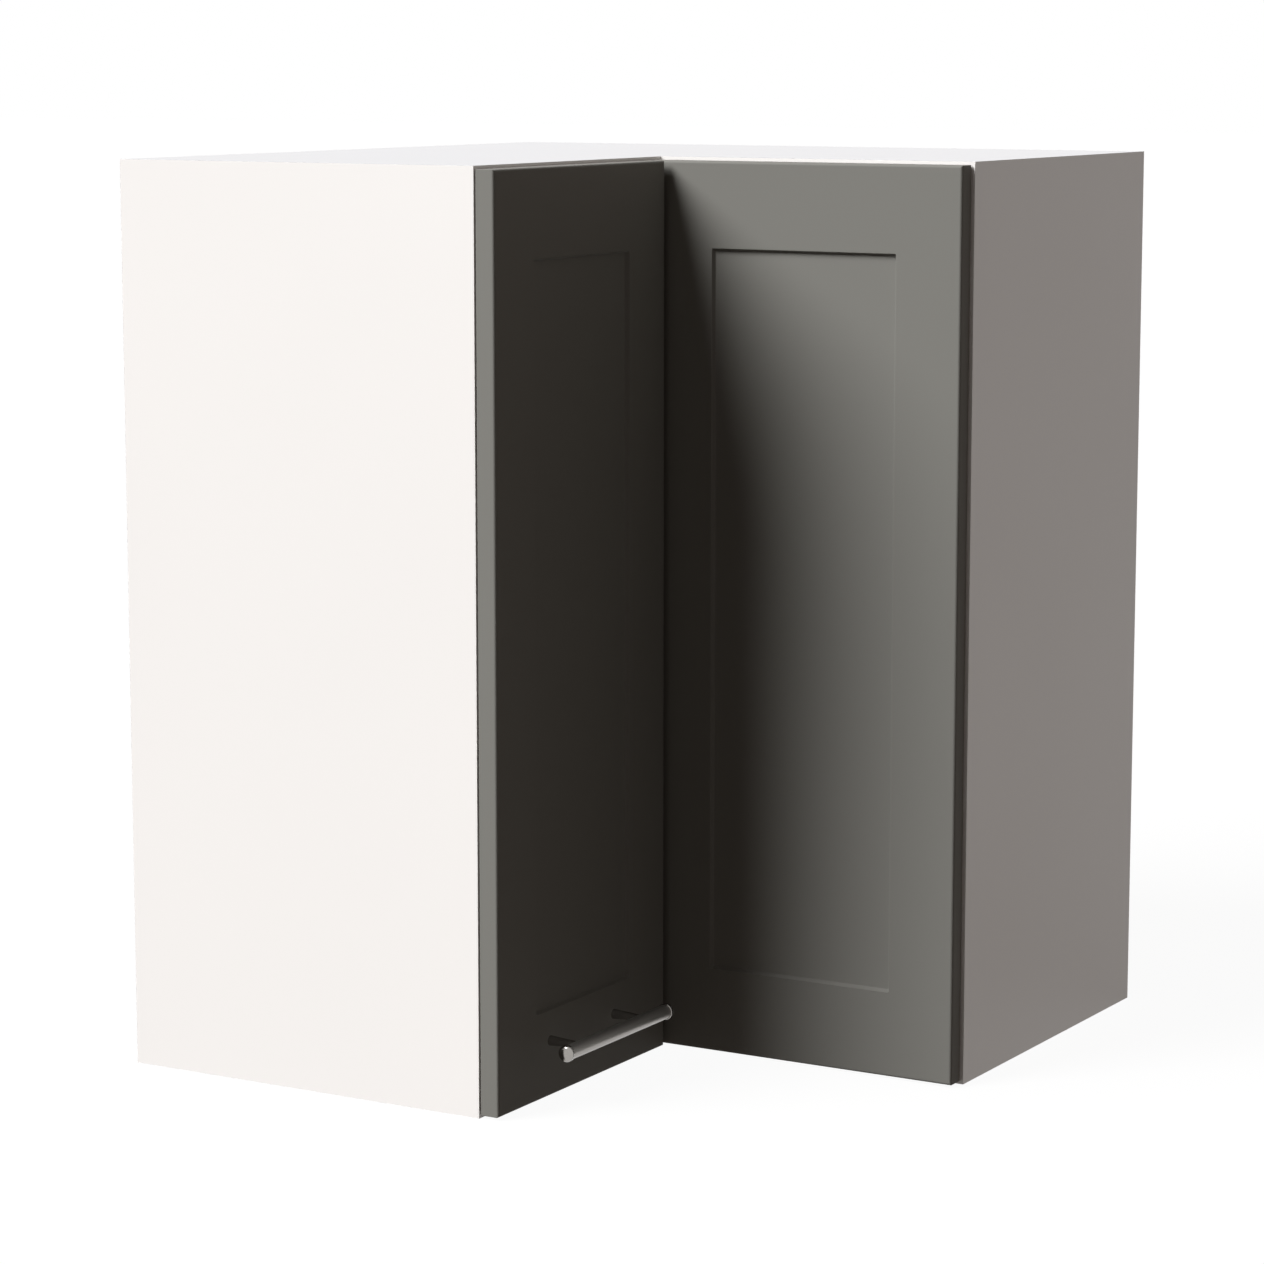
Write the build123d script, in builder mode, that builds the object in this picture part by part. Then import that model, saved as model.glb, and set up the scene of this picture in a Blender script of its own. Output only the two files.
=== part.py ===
"""Corner wall cabinet: an L-shaped carcass with a folding pair of framed doors.

Millimetres, +Z up. The origin is at the middle of the square that the two legs span,
on the underside of the carcass. The walls stand at x = -half and y = +half. The left leg
runs along the left wall to its end panel at y = -half, the right leg runs along the rear
wall to its end panel at x = +half, and the notch between them faces +X and -Y.
"""

import os
from math import copysign

from build123d import *

os.makedirs("parts", exist_ok=True)

# ---------------------------------------------------------------- driving dimensions
# Carcass
wall_run = 600.0  # length of each leg along its wall
leg_depth = 325.0  # from wall to front edge of a leg
height = 720.0
board = 16.0  # carcass board
back_board = 3.0
back_inset = 18.0  # free space between a wall and the back board
groove_depth = 7.0
groove_clearance = 0.1
back_end_clearance = 0.5  # back board's edge to the bottom of its groove
post_leg = 60.0  # each leg of the L-shaped corner post
post_dowel_offset = 42.0  # from the wall, along each leg of the post
cut_overshoot = 1.0  # how far a through cut runs past a face

# Doors
door_thickness = 16.0
door_gap = 1.2  # carcass front edge to the door's back
door_reveal_top = 2.5
door_reveal_bottom = 2.5
left_door_reveal = 0.5  # end panel's outer face to the left door's outer edge
right_door_reveal = 2.5
door_corner_gap = 6.0  # left door's inner edge to the right door's front
stile_width = 55.0
rail_width = 68.0
recess_depth = 3.5
recess_slope = 1.6  # width of the sloping step round the recess
door_edge_round = 2.0

# Shelves and their pins
shelf_count = 2
shelf_side_clearance = 1.0
shelf_setback = 22.0
pin_radius = 2.45
pin_depth = 9.5
pin_hole_radius = 2.55
pin_tongue = 9.0
pin_plate = 1.5
pin_plate_width = 9.0
pin_plate_height = 12.0
hole_pitch = 32.0
holes_each_way = 2  # spare holes above and below each shelf pin
system_line = 37.0  # row of holes behind a front edge
corner_pin_offset = 20.0  # from the inner corner of the back boards

# Board joints
cam_radius = 7.5
cam_height = 12.5
cam_bore_clearance = 0.1
cam_from_end = 24.0  # cam centre to the board's end
cam_front_offset = 50.0  # from the leg's front edge
cam_rear_offset = 80.0  # from the wall
cam_cross_length = 7.5
cam_cross_width = 1.4
cam_cross_depth = 2.0
dowel_step = 32.0  # cam to dowel
dowel_radius = 3.95
dowel_length = 30.0
dowel_in_side = 11.0
dowel_hole_radius = 4.05
dowel_end_clearance = 0.2
bolt_shaft_radius = 3.0
bolt_head_radius = 3.6
bolt_head_length = 3.0
bolt_end_clearance = 0.5  # bolt's head to the bottom of the cam's side bore
bolt_neck_radius = 2.1
bolt_neck_length = 6.0
bolt_thread_radius = 3.4
bolt_thread_hole_radius = 3.5
bolt_bore_radius = 4.0
cap_radius = 8.5
cap_thickness = 1.0

# Back board screws
back_screw_offset = 32.0  # from the inner corner of the back boards
back_screw_end_offset = 60.0
back_screw_radius = 1.5
back_screw_head_radius = 3.0
back_screw_head = 1.5
back_screw_length = 15.0
pilot_clearance = 0.1

# Wall hangers
hanger_length = 62.0
hanger_width = 16.0
hanger_height = 60.0
hanger_drop = 4.0  # top panel's underside to the housing
hook_thickness = 3.0
hook_width = 9.0
hook_below_top = 14.0  # housing's top to the hook's upper face
hook_tip_drop = 18.0
hook_tip_thickness = 2.5
hook_wall_clearance = 1.5
hook_heel_rise = 4.0
hook_reach_in = 36.0  # how far the hook's heel lies inside the back board
hook_clearance = 0.5  # round the hook's heel, inside the housing
hook_adjust_room = 1.0  # above and below the heel
hook_slot_side = 1.0  # back board's slot, either side of the hook
adjuster_radius = 2.5
adjuster_head_radius = 3.5
adjuster_head = 2.0
adjuster_recess = 1.0
adjuster_head_clearance = 0.2
low_adjuster_drop = 44.0
fixing_radius = 2.0
fixing_head_radius = 3.2
fixing_head = 0.3
fixing_depth = 11.0
fixing_height = 7.0
fixing_end_offset = 17.0
cover_wall = 1.4
cover_clearance = 0.4
hook_slot_margin = 5.0

# Concealed hinges
hinge_end_offset = 97.5  # door end to hinge centre
cup_radius = 17.5
cup_depth = 11.5
cup_bore_clearance = 0.1
cup_from_edge = 21.5
cup_rim = 0.9
cup_rim_overlap = 1.0
cup_cavity_length = 28.0
cup_cavity_width = 15.0
cup_cavity_depth = 9.0
cup_screw_back = 9.5
cup_screw_half_pitch = 22.5
cup_wing_length = 57.0
cup_wing_width = 13.0
cup_wing_round = 5.0
cup_pivot_depth = 3.0
link_b_half = 1.5  # half thickness of the cup link
link_a_inner = 1.8  # swing link plates start here
link_a_outer = 4.2
arm_inner = 4.6  # arm walls start here
arm_outer = 6.0
link_half_width = 2.5
link_end_radius = 3.0
pivot_radius = 1.5
arm_pivot_radius = 1.75
running_clearance = 0.06
open_pivot_clearance = 0.25
arm_web = 1.5
arm_half_length = 20.0
arm_height = 11.0  # mounting face to the arm's web
arm_wall_height = 8.5
arm_nose_radius = 4.5
arm_throat = 10.0
plate_thickness = 3.0
plate_half_width = 9.0
plate_half_span = 25.0
plate_round = 5.0
plate_base_half_length = 17.0
plate_base_half_width = 8.0
boss_half_length = 15.0
boss_half_width = 4.4
plate_line_from_edge = 37.0  # screw line behind the carcass's front edge
plate_screw_half_pitch = 16.0
plate_screw_radius = 2.5
plate_screw_head_radius = 4.5
plate_screw_head = 2.0
plate_screw_depth = 11.0
arm_screw_radius = 1.9
arm_screw_head_radius = 4.0
arm_screw_head = 2.0
arm_screw_depth = 6.0
arm_screw_offset = 6.0
swing_pivot_in = 34.0  # arm pivot inwards from the door's outer edge
swing_pivot_back = 31.0  # and behind the door's front
fold_pivot_in = 16.0  # arm pivot of the folding hinge, past the door's back edge
fold_pivot_back = 10.0
fold_plate_from_end = 38.0  # left door's inner end to its screw line
small_screw_radius = 1.75
small_screw_head_radius = 3.4
small_screw_head = 1.4
small_screw_depth = 10.0
fold_screw_depth = 10.0

# Handle
handle_length = 158.0
handle_post_pitch = 96.0
handle_bar_radius = 5.8
handle_collar_radius = 6.55
handle_collar_length = 5.0
handle_collar_round = 1.6
handle_standoff = 31.5  # door face to the bar's axis
handle_height = 46.4
handle_offset = 2.2  # beyond the left door's middle, away from the fold
post_foot_radius = 4.1  # the post narrows evenly from here to the bar
post_waist_radius = 2.2
handle_screw_radius = 2.0
handle_screw_hole_radius = 2.3
handle_screw_head_radius = 4.0
handle_screw_head = 2.6
handle_screw_in_post = 12.0
post_seat_clearance = 0.05

# Door bumpers
bumper_radius = 4.0
bumper_draft = 0.6
bumper_clearance = 0.3
bumper_from_end = 28.0

# ---------------------------------------------------------------- places worked out
half = wall_run / 2
leg_front = leg_depth - half  # x of the left leg's front edges, -y of the right leg's
end_face = half - board  # inner face of either end panel
inner_top = height - board
back_outer = half - back_inset
back_inner = back_outer - back_board
interior = height - 2 * board

door_height = height - door_reveal_top - door_reveal_bottom
door_back = leg_front + door_gap
door_front = door_back + door_thickness
left_door_start = -half + left_door_reveal
left_door_end = -door_front - door_corner_gap
left_door_width = left_door_end - left_door_start
right_door_start = door_back
right_door_end = half - right_door_reveal
right_door_width = right_door_end - right_door_start
hinge_heights = [
    door_reveal_bottom + hinge_end_offset,
    height - door_reveal_top - hinge_end_offset,
]

shelf_space = (interior - shelf_count * board) / (shelf_count + 1)
shelf_undersides = [
    board + shelf_space + index * (shelf_space + board) for index in range(shelf_count)
]

# Pivots in plan. Each hinge is a parallelogram: its links turn the door exactly about the
# door's own pivot corner.
swing_pivot = Vector(right_door_end, -door_front, 0)
cup_pivot = Vector(
    right_door_end - cup_from_edge, -door_back - cup_pivot_depth, 0
)
arm_pivot = swing_pivot + Vector(-swing_pivot_in, swing_pivot_back, 0)
link_pivot = arm_pivot + cup_pivot - swing_pivot
fold_pivot = Vector(right_door_start, -door_back, 0)
fold_cup_pivot = Vector(
    right_door_start + cup_from_edge, -door_back - cup_pivot_depth, 0
)
fold_arm_pivot = fold_pivot + Vector(-fold_pivot_in, fold_pivot_back, 0)
fold_link_pivot = fold_arm_pivot + fold_cup_pivot - fold_pivot
plate_line = -leg_front + plate_line_from_edge
fold_plate_line = left_door_end - fold_plate_from_end

handle_middle = (left_door_start + left_door_end) / 2 - handle_offset
handle_posts_at = [
    handle_middle - handle_post_pitch / 2,
    handle_middle + handle_post_pitch / 2,
]

# Mirror planes: one swaps the two legs, the other swaps top and bottom.
leg_swap = Plane(origin=(0, 0, 0), z_dir=(1, 1, 0))
mid_height = Plane.XY.offset(height / 2)

# Faces that pieces are drilled from or seated on. On each, local x is horizontal, local y
# points up and local z points out of the board.
left_end_inner = Plane(origin=(0, -end_face, 0), x_dir=(-1, 0, 0), z_dir=(0, 1, 0))
right_end_inner = Plane(origin=(end_face, 0, 0), x_dir=(0, -1, 0), z_dir=(-1, 0, 0))
left_back_face = Plane(origin=(-back_inner, 0, 0), x_dir=(0, 1, 0), z_dir=(1, 0, 0))
left_door_face = Plane(origin=(door_front, 0, 0), x_dir=(0, 1, 0), z_dir=(1, 0, 0))
left_door_rear = Plane(origin=(door_back, 0, 0), x_dir=(0, -1, 0), z_dir=(-1, 0, 0))
right_door_face = Plane(origin=(0, -door_front, 0), x_dir=(1, 0, 0), z_dir=(0, -1, 0))
right_door_rear = Plane(origin=(0, -door_back, 0), x_dir=(-1, 0, 0), z_dir=(0, 1, 0))


# ---------------------------------------------------------------- helpers
def write(part, name):
    """Label a finished piece and write it as its own file."""
    part.label = name
    export_step(part, f"parts/{name}.step")


def leg_outline(side, front, rear):
    """Corners of an L plate: side in from the end faces, front behind the front edges,
    rear in from the walls."""
    end = half - side
    wall = half - rear
    edge = leg_front - front
    return [
        (-wall, -end),
        (edge, -end),
        (edge, -edge),
        (end, -edge),
        (end, wall),
        (-wall, wall),
    ]


def plate(outline, low, thickness):
    """A flat plate with a straight-sided outline."""
    with BuildPart() as piece:
        with BuildSketch(Plane.XY.offset(low)):
            with BuildLine():
                Polyline(*outline, close=True)
            make_face()
        extrude(amount=thickness)
    return piece.part


def block(x_span, y_span, z_span):
    """A rectangular block between two values along each axis."""
    with BuildPart() as piece:
        with BuildSketch(Plane.XY.offset(z_span[0])):
            with Locations(((x_span[0] + x_span[1]) / 2, (y_span[0] + y_span[1]) / 2)):
                Rectangle(x_span[1] - x_span[0], y_span[1] - y_span[0])
        extrude(amount=z_span[1] - z_span[0])
    return piece.part


def drill(face, places, radius, depth, rise=0.0):
    """Round holes from a face: depth inwards, and rise outwards past it."""
    with BuildPart() as holes:
        with BuildSketch(face.offset(rise)):
            with Locations(*places):
                Circle(radius)
        extrude(amount=-(depth + rise))
    return holes.part


def turned(face, place, outline):
    """A round piece whose axis stands on a face: outline holds radius and height pairs."""
    foot = face.from_local_coords(Vector(place[0], place[1], 0))
    section = Plane(origin=foot, x_dir=face.x_dir, z_dir=-face.y_dir)
    with BuildPart() as piece:
        with BuildSketch(section):
            with BuildLine():
                Polyline(*outline, close=True)
            make_face()
        revolve(axis=Axis(foot, face.z_dir))
    return piece.part


def screw(face, place, shaft, depth, head, head_height, lift=0.0):
    """A pan-head screw driven into a face, with its head lift above it."""
    outline = [
        (0, -depth),
        (shaft, -depth),
        (shaft, lift),
        (head, lift),
        (head, lift + head_height / 2),
        (head - head_height / 2, lift + head_height),
        (0, lift + head_height),
    ]
    return turned(face, place, outline)


def group(pieces):
    """Separate solids that share one node."""
    with BuildPart() as joined:
        for piece in pieces:
            add(piece)
    return joined.part


# ---------------------------------------------------------------- board joints
# Drawn once where the left end panel meets the bottom panel, then mirrored to the right
# leg and to the top panel.
joint_height = board / 2
cam_places = [leg_front - cam_front_offset, -half + cam_rear_offset]
dowel_places = [cam_places[0] - dowel_step, cam_places[1] + dowel_step]
cam_y = -end_face + cam_from_end
bolt_reach = cam_from_end + bolt_head_length
bottom_inner = Plane.XY.offset(board)
joint_face_x = [(-place, joint_height) for place in cam_places]
dowel_face_x = [(-place, joint_height) for place in dowel_places]

with BuildPart() as joint_holes:
    add(drill(left_end_inner, joint_face_x, bolt_thread_hole_radius, dowel_in_side))
    add(drill(left_end_inner, joint_face_x, bolt_bore_radius, 0, cam_from_end))
    add(
        drill(
            left_end_inner,
            dowel_face_x,
            dowel_hole_radius,
            dowel_in_side + dowel_end_clearance,
            dowel_length - dowel_in_side + dowel_end_clearance,
        )
    )
    add(
        drill(
            bottom_inner,
            [(place, cam_y) for place in cam_places],
            cam_radius + cam_bore_clearance,
            cam_height,
        )
    )

joint_holes_top = mirror(joint_holes.part, about=mid_height)
joint_holes_right = mirror(joint_holes.part, about=leg_swap)


def cam_housing(x):
    """Round cam that clamps a bolt's head: a side bore for the bolt, a cross for the driver."""
    with BuildPart() as cam:
        with BuildSketch(bottom_inner):
            with Locations((x, cam_y)):
                Circle(cam_radius)
        extrude(amount=-cam_height)
        add(
            drill(left_end_inner, [(-x, joint_height)], bolt_bore_radius, 0, bolt_reach),
            mode=Mode.SUBTRACT,
        )
        with BuildSketch(bottom_inner):
            with Locations((x, cam_y)):
                Rectangle(cam_cross_length, cam_cross_width)
                Rectangle(cam_cross_width, cam_cross_length)
        extrude(amount=-cam_cross_depth, mode=Mode.SUBTRACT)
    return cam.part


def cam_bolt(x):
    """Bolt screwed into the end panel, its head inside the cam."""
    tip = bolt_reach - bolt_end_clearance
    neck = tip - bolt_head_length
    outline = [
        (0, -dowel_in_side),
        (bolt_thread_radius, -dowel_in_side),
        (bolt_thread_radius, 0),
        (bolt_shaft_radius, 0),
        (bolt_shaft_radius, neck - bolt_neck_length),
        (bolt_neck_radius, neck - bolt_neck_length),
        (bolt_neck_radius, neck),
        (bolt_head_radius, neck),
        (bolt_head_radius, tip),
        (0, tip),
    ]
    return turned(left_end_inner, (-x, joint_height), outline)


def joint_dowel(x):
    """Fluted dowel, drawn plain, between the end panel and a horizontal board."""
    outline = [
        (0, -dowel_in_side),
        (dowel_radius, -dowel_in_side),
        (dowel_radius, dowel_length - dowel_in_side),
        (0, dowel_length - dowel_in_side),
    ]
    return turned(left_end_inner, (-x, joint_height), outline)


def cam_cap(x):
    """Thin snap-in cap over a cam."""
    outline = [
        (0, 0),
        (cap_radius, 0),
        (cap_radius, cap_thickness / 2),
        (cap_radius - cap_thickness / 2, cap_thickness),
        (0, cap_thickness),
    ]
    return turned(bottom_inner, (x, cam_y), outline)


def all_joints(pieces):
    """The left-bottom pieces and their mirror images at the three other joints."""
    lower = list(pieces)
    lower += [mirror(piece, about=leg_swap) for piece in pieces]
    return lower + [mirror(piece, about=mid_height) for piece in lower]


# ---------------------------------------------------------------- corner post
post_wall = half - post_leg
post_dowel = half - back_inset / 2
post_dowels_at = [
    (-post_dowel, half - post_dowel_offset),
    (-half + post_dowel_offset, post_dowel),
]
corner_pin_y = back_outer - corner_pin_offset
back_screw_y = back_outer - back_screw_offset
back_screw_heights = [
    back_screw_end_offset,
    height / 2,
    height - back_screw_end_offset,
]


def pin_heights(underside):
    """Heights of the spare holes round one shelf's pins."""
    centre = underside - pin_radius
    return [
        centre + step * hole_pitch for step in range(-holes_each_way, holes_each_way + 1)
    ]


all_pin_heights = [z for underside in shelf_undersides for z in pin_heights(underside)]
corner_pin_holes = drill(
    left_back_face, [(corner_pin_y, z) for z in all_pin_heights], pin_hole_radius, pin_depth
)
back_screw_holes = drill(
    left_back_face,
    [(back_screw_y, z) for z in back_screw_heights],
    back_screw_radius + pilot_clearance,
    back_screw_length,
)
post_dowel_holes = drill(
    Plane.XY.offset(board),
    post_dowels_at,
    dowel_hole_radius,
    dowel_in_side + dowel_end_clearance,
    dowel_length - dowel_in_side + dowel_end_clearance,
)

with BuildPart() as corner_post:
    with BuildSketch(Plane.XY.offset(board)):
        with BuildLine():
            Polyline(
                (-half, post_wall),
                (-back_outer, post_wall),
                (-back_outer, back_outer),
                (-post_wall, back_outer),
                (-post_wall, half),
                (-half, half),
                close=True,
            )
        make_face()
    extrude(amount=interior)
    for holes in (corner_pin_holes, back_screw_holes):
        add(holes, mode=Mode.SUBTRACT)
        add(mirror(holes, about=leg_swap, mode=Mode.PRIVATE), mode=Mode.SUBTRACT)
    add(post_dowel_holes, mode=Mode.SUBTRACT)
    add(mirror(post_dowel_holes, about=mid_height, mode=Mode.PRIVATE), mode=Mode.SUBTRACT)
write(corner_post.part, "corner_post")

# ---------------------------------------------------------------- bottom and top panels
groove_outer = back_outer + groove_clearance
groove_inner = back_inner - groove_clearance
with BuildPart() as bottom_panel:
    add(plate(leg_outline(board, 0, 0), 0, board))
    with BuildSketch(Plane.XY.offset(board - groove_depth)):
        with BuildLine():
            Polyline(
                (-groove_outer, -end_face),
                (-groove_inner, -end_face),
                (-groove_inner, groove_inner),
                (end_face, groove_inner),
                (end_face, groove_outer),
                (-groove_outer, groove_outer),
                close=True,
            )
        make_face()
    extrude(amount=groove_depth, mode=Mode.SUBTRACT)
    add(joint_holes.part, mode=Mode.SUBTRACT)
    add(joint_holes_right, mode=Mode.SUBTRACT)
    add(post_dowel_holes, mode=Mode.SUBTRACT)
write(bottom_panel.part, "bottom_panel")

with BuildPart() as top_panel:
    mirror(bottom_panel.part, about=mid_height)
write(top_panel.part, "top_panel")

# ---------------------------------------------------------------- wall hangers
hanger_top = inner_top - hanger_drop
hanger_low = hanger_top - hanger_height
hanger_front = -back_inner + hanger_length
hanger_mid = -end_face + hanger_width / 2
hook_half = hook_width / 2
hook_top = hanger_top - hook_below_top
heel_x = -back_inner + hook_reach_in
hook_tip_x = -half + hook_wall_clearance
low_adjuster_z = hanger_top - low_adjuster_drop
hook_z = hook_top - hook_thickness / 2
fixing_z = hanger_low + fixing_height
fixings_at = [
    (back_inner - fixing_end_offset, fixing_z),
    (-hanger_front + fixing_end_offset, fixing_z),
]
hanger_face = Plane(origin=(hanger_front, 0, 0), x_dir=(0, 1, 0), z_dir=(1, 0, 0))
hanger_side = left_end_inner.offset(hanger_width)
adjusters_at = [(hanger_mid, hook_z), (hanger_mid, low_adjuster_z)]
adjuster_length = hanger_front - heel_x - adjuster_recess - adjuster_head

with BuildPart() as left_hanger_housing:
    add(
        block(
            (-back_inner, hanger_front),
            (-end_face, -end_face + hanger_width),
            (hanger_low, hanger_top),
        )
    )
    hook_room = hook_thickness / 2 + hook_heel_rise + hook_adjust_room
    add(
        block(
            (-back_inner, heel_x + hook_clearance),
            (hanger_mid - hook_half - hook_clearance, hanger_mid + hook_half + hook_clearance),
            (hook_z - hook_room, hook_z + hook_room),
        ),
        mode=Mode.SUBTRACT,
    )
    add(
        drill(
            hanger_face,
            adjusters_at,
            adjuster_head_radius + adjuster_head_clearance,
            adjuster_head + adjuster_recess,
        ),
        mode=Mode.SUBTRACT,
    )
    add(
        drill(
            hanger_face,
            adjusters_at,
            adjuster_radius + pilot_clearance,
            hanger_front - heel_x,
        ),
        mode=Mode.SUBTRACT,
    )
    add(
        drill(hanger_side, fixings_at, fixing_radius + pilot_clearance, hanger_width),
        mode=Mode.SUBTRACT,
    )
write(left_hanger_housing.part, "left_hanger_housing")

with BuildPart() as right_hanger_housing:
    mirror(left_hanger_housing.part, about=leg_swap)
write(right_hanger_housing.part, "right_hanger_housing")

with BuildPart() as left_hanger_hook:
    hook_plane = Plane(origin=(0, hanger_mid, 0), x_dir=(1, 0, 0), z_dir=(0, -1, 0))
    with BuildSketch(hook_plane):
        with BuildLine():
            Polyline(
                (hook_tip_x, hook_top),
                (hook_tip_x, hook_top - hook_tip_drop),
                (hook_tip_x + hook_tip_thickness, hook_top - hook_tip_drop),
                (hook_tip_x + hook_tip_thickness, hook_top - hook_thickness),
                (heel_x - hook_thickness, hook_top - hook_thickness),
                (heel_x - hook_thickness, hook_top - hook_thickness - hook_heel_rise),
                (heel_x, hook_top - hook_thickness - hook_heel_rise),
                (heel_x, hook_top + hook_heel_rise),
                (heel_x - hook_thickness, hook_top + hook_heel_rise),
                (heel_x - hook_thickness, hook_top),
                close=True,
            )
        make_face()
    extrude(amount=hook_half, both=True)
write(left_hanger_hook.part, "left_hanger_hook")

with BuildPart() as right_hanger_hook:
    mirror(left_hanger_hook.part, about=leg_swap)
write(right_hanger_hook.part, "right_hanger_hook")

left_adjusters = [
    screw(
        hanger_face,
        place,
        adjuster_radius,
        adjuster_length + adjuster_head + adjuster_recess,
        adjuster_head_radius,
        adjuster_head,
        -adjuster_head - adjuster_recess,
    )
    for place in adjusters_at
]
right_adjusters = [mirror(piece, about=leg_swap) for piece in left_adjusters]
write(group(left_adjusters + right_adjusters), "hanger_adjusting_screws")

left_fixings = [
    screw(
        hanger_side,
        place,
        fixing_radius,
        hanger_width + fixing_depth,
        fixing_head_radius,
        fixing_head,
    )
    for place in fixings_at
]
right_fixings = [mirror(piece, about=leg_swap) for piece in left_fixings]
write(group(left_fixings + right_fixings), "hanger_fixing_screws")

cover_outer = cover_clearance + cover_wall
with BuildPart() as left_hanger_cover:
    add(
        block(
            (-back_inner, hanger_front + cover_outer),
            (-end_face, -end_face + hanger_width + cover_outer),
            (hanger_low - cover_outer, hanger_top + cover_outer),
        )
    )
    upright_edges = left_hanger_cover.edges().filter_by(Axis.Z)
    fillet(upright_edges.sort_by(Axis.X)[-2:].sort_by(Axis.Y)[-1], cover_wall)
    add(
        block(
            (-back_inner, hanger_front + cover_clearance),
            (-end_face, -end_face + hanger_width + cover_clearance),
            (hanger_low - cover_clearance, hanger_top + cover_clearance),
        ),
        mode=Mode.SUBTRACT,
    )
write(left_hanger_cover.part, "left_hanger_cover")

with BuildPart() as right_hanger_cover:
    mirror(left_hanger_cover.part, about=leg_swap)
write(right_hanger_cover.part, "right_hanger_cover")

# ---------------------------------------------------------------- back boards
hook_slot = block(
    (-back_outer - cut_overshoot, -back_inner + cut_overshoot),
    (hanger_mid - hook_half - hook_slot_side, hanger_mid + hook_half + hook_slot_side),
    (hook_top - hook_tip_drop - hook_slot_margin, hook_top + hook_slot_margin),
)
groove_end = board - groove_depth + back_end_clearance


def back_sheet(corner_end):
    """The left back board, cut off at corner_end along the wall."""
    with BuildPart() as sheet:
        add(
            block(
                (-back_outer, -back_inner),
                (-half + groove_end, corner_end),
                (groove_end, height - groove_end),
            )
        )
        add(hook_slot, mode=Mode.SUBTRACT)
        add(corner_pin_holes, mode=Mode.SUBTRACT)
        add(back_screw_holes, mode=Mode.SUBTRACT)
    return sheet.part


write(back_sheet(back_outer), "left_back_panel")
with BuildPart() as rear_back_panel:
    mirror(back_sheet(back_inner - groove_clearance), about=leg_swap)
write(rear_back_panel.part, "rear_back_panel")

left_back_screws = [
    screw(
        left_back_face,
        (back_screw_y, z),
        back_screw_radius,
        back_screw_length,
        back_screw_head_radius,
        back_screw_head,
    )
    for z in back_screw_heights
]
rear_back_screws = [mirror(piece, about=leg_swap) for piece in left_back_screws]
write(group(left_back_screws + rear_back_screws), "back_panel_screws")

# ---------------------------------------------------------------- end panels
front_pin_x = leg_front - system_line
rear_pin_x = -back_inner + system_line
with BuildPart() as left_side_panel:
    add(block((-half, leg_front), (-half, -end_face), (0, height)))
    add(joint_holes.part, mode=Mode.SUBTRACT)
    add(joint_holes_top, mode=Mode.SUBTRACT)
    add(
        block(
            (-groove_outer, -groove_inner),
            (-end_face - groove_depth, -end_face),
            (board - groove_depth, height - board + groove_depth),
        ),
        mode=Mode.SUBTRACT,
    )
    pin_columns = [(-x, z) for x in (front_pin_x, rear_pin_x) for z in all_pin_heights]
    add(drill(left_end_inner, pin_columns, pin_hole_radius, pin_depth), mode=Mode.SUBTRACT)
    add(
        drill(left_end_inner, fixings_at, fixing_radius + pilot_clearance, fixing_depth),
        mode=Mode.SUBTRACT,
    )
write(left_side_panel.part, "left_side_panel")

plate_screws_at = [
    (-plate_line, z + side * plate_screw_half_pitch)
    for z in hinge_heights
    for side in (-1, 1)
]
with BuildPart() as right_side_panel:
    mirror(left_side_panel.part, about=leg_swap)
    add(
        drill(
            right_end_inner,
            plate_screws_at,
            plate_screw_radius + pilot_clearance,
            plate_screw_depth,
        ),
        mode=Mode.SUBTRACT,
    )
write(right_side_panel.part, "right_side_panel")

# ---------------------------------------------------------------- joint fittings
write(group(all_joints([cam_housing(x) for x in cam_places])), "cam_housings")
write(group(all_joints([cam_bolt(x) for x in cam_places])), "cam_bolts")
write(group(all_joints([cam_cap(x) for x in cam_places])), "cam_cover_caps")
post_dowel_outline = [
    (0, -dowel_in_side),
    (dowel_radius, -dowel_in_side),
    (dowel_radius, dowel_length - dowel_in_side),
    (0, dowel_length - dowel_in_side),
]
post_dowels = [turned(bottom_inner, place, post_dowel_outline) for place in post_dowels_at]
post_dowels += [mirror(piece, about=mid_height) for piece in post_dowels]
write(group(all_joints([joint_dowel(x) for x in dowel_places]) + post_dowels), "dowels")


# ---------------------------------------------------------------- shelves and pins
def shelf_pin(face, place):
    """Pin with a flat plate against the board and a tongue under the shelf."""
    spot = face.from_local_coords(Vector(place[0], place[1], 0))
    here = Plane(origin=spot, x_dir=face.x_dir, z_dir=face.z_dir)
    with BuildPart() as pin:
        with BuildSketch(here):
            Circle(pin_radius)
        extrude(amount=-pin_depth)
        with BuildSketch(here):
            with Locations((0, pin_radius - pin_plate_height / 2)):
                Rectangle(pin_plate_width, pin_plate_height)
        extrude(amount=pin_plate)
        with BuildSketch(here):
            with Locations((0, pin_radius - pin_plate / 2)):
                Rectangle(pin_plate_width, pin_plate)
        extrude(amount=pin_tongue)
    return pin.part


for name, underside in zip(("lower", "upper"), shelf_undersides):
    outline = leg_outline(
        board + shelf_side_clearance, shelf_setback, half - back_inner + shelf_side_clearance
    )
    write(plate(outline, underside, board), f"{name}_shelf")
    pin_z = underside - pin_radius
    left_pins = [shelf_pin(left_end_inner, (-x, pin_z)) for x in (front_pin_x, rear_pin_x)]
    left_pins.append(shelf_pin(left_back_face, (corner_pin_y, pin_z)))
    right_pins = [mirror(piece, about=leg_swap) for piece in left_pins]
    write(group(left_pins + right_pins), f"{name}_shelf_pins")


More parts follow.
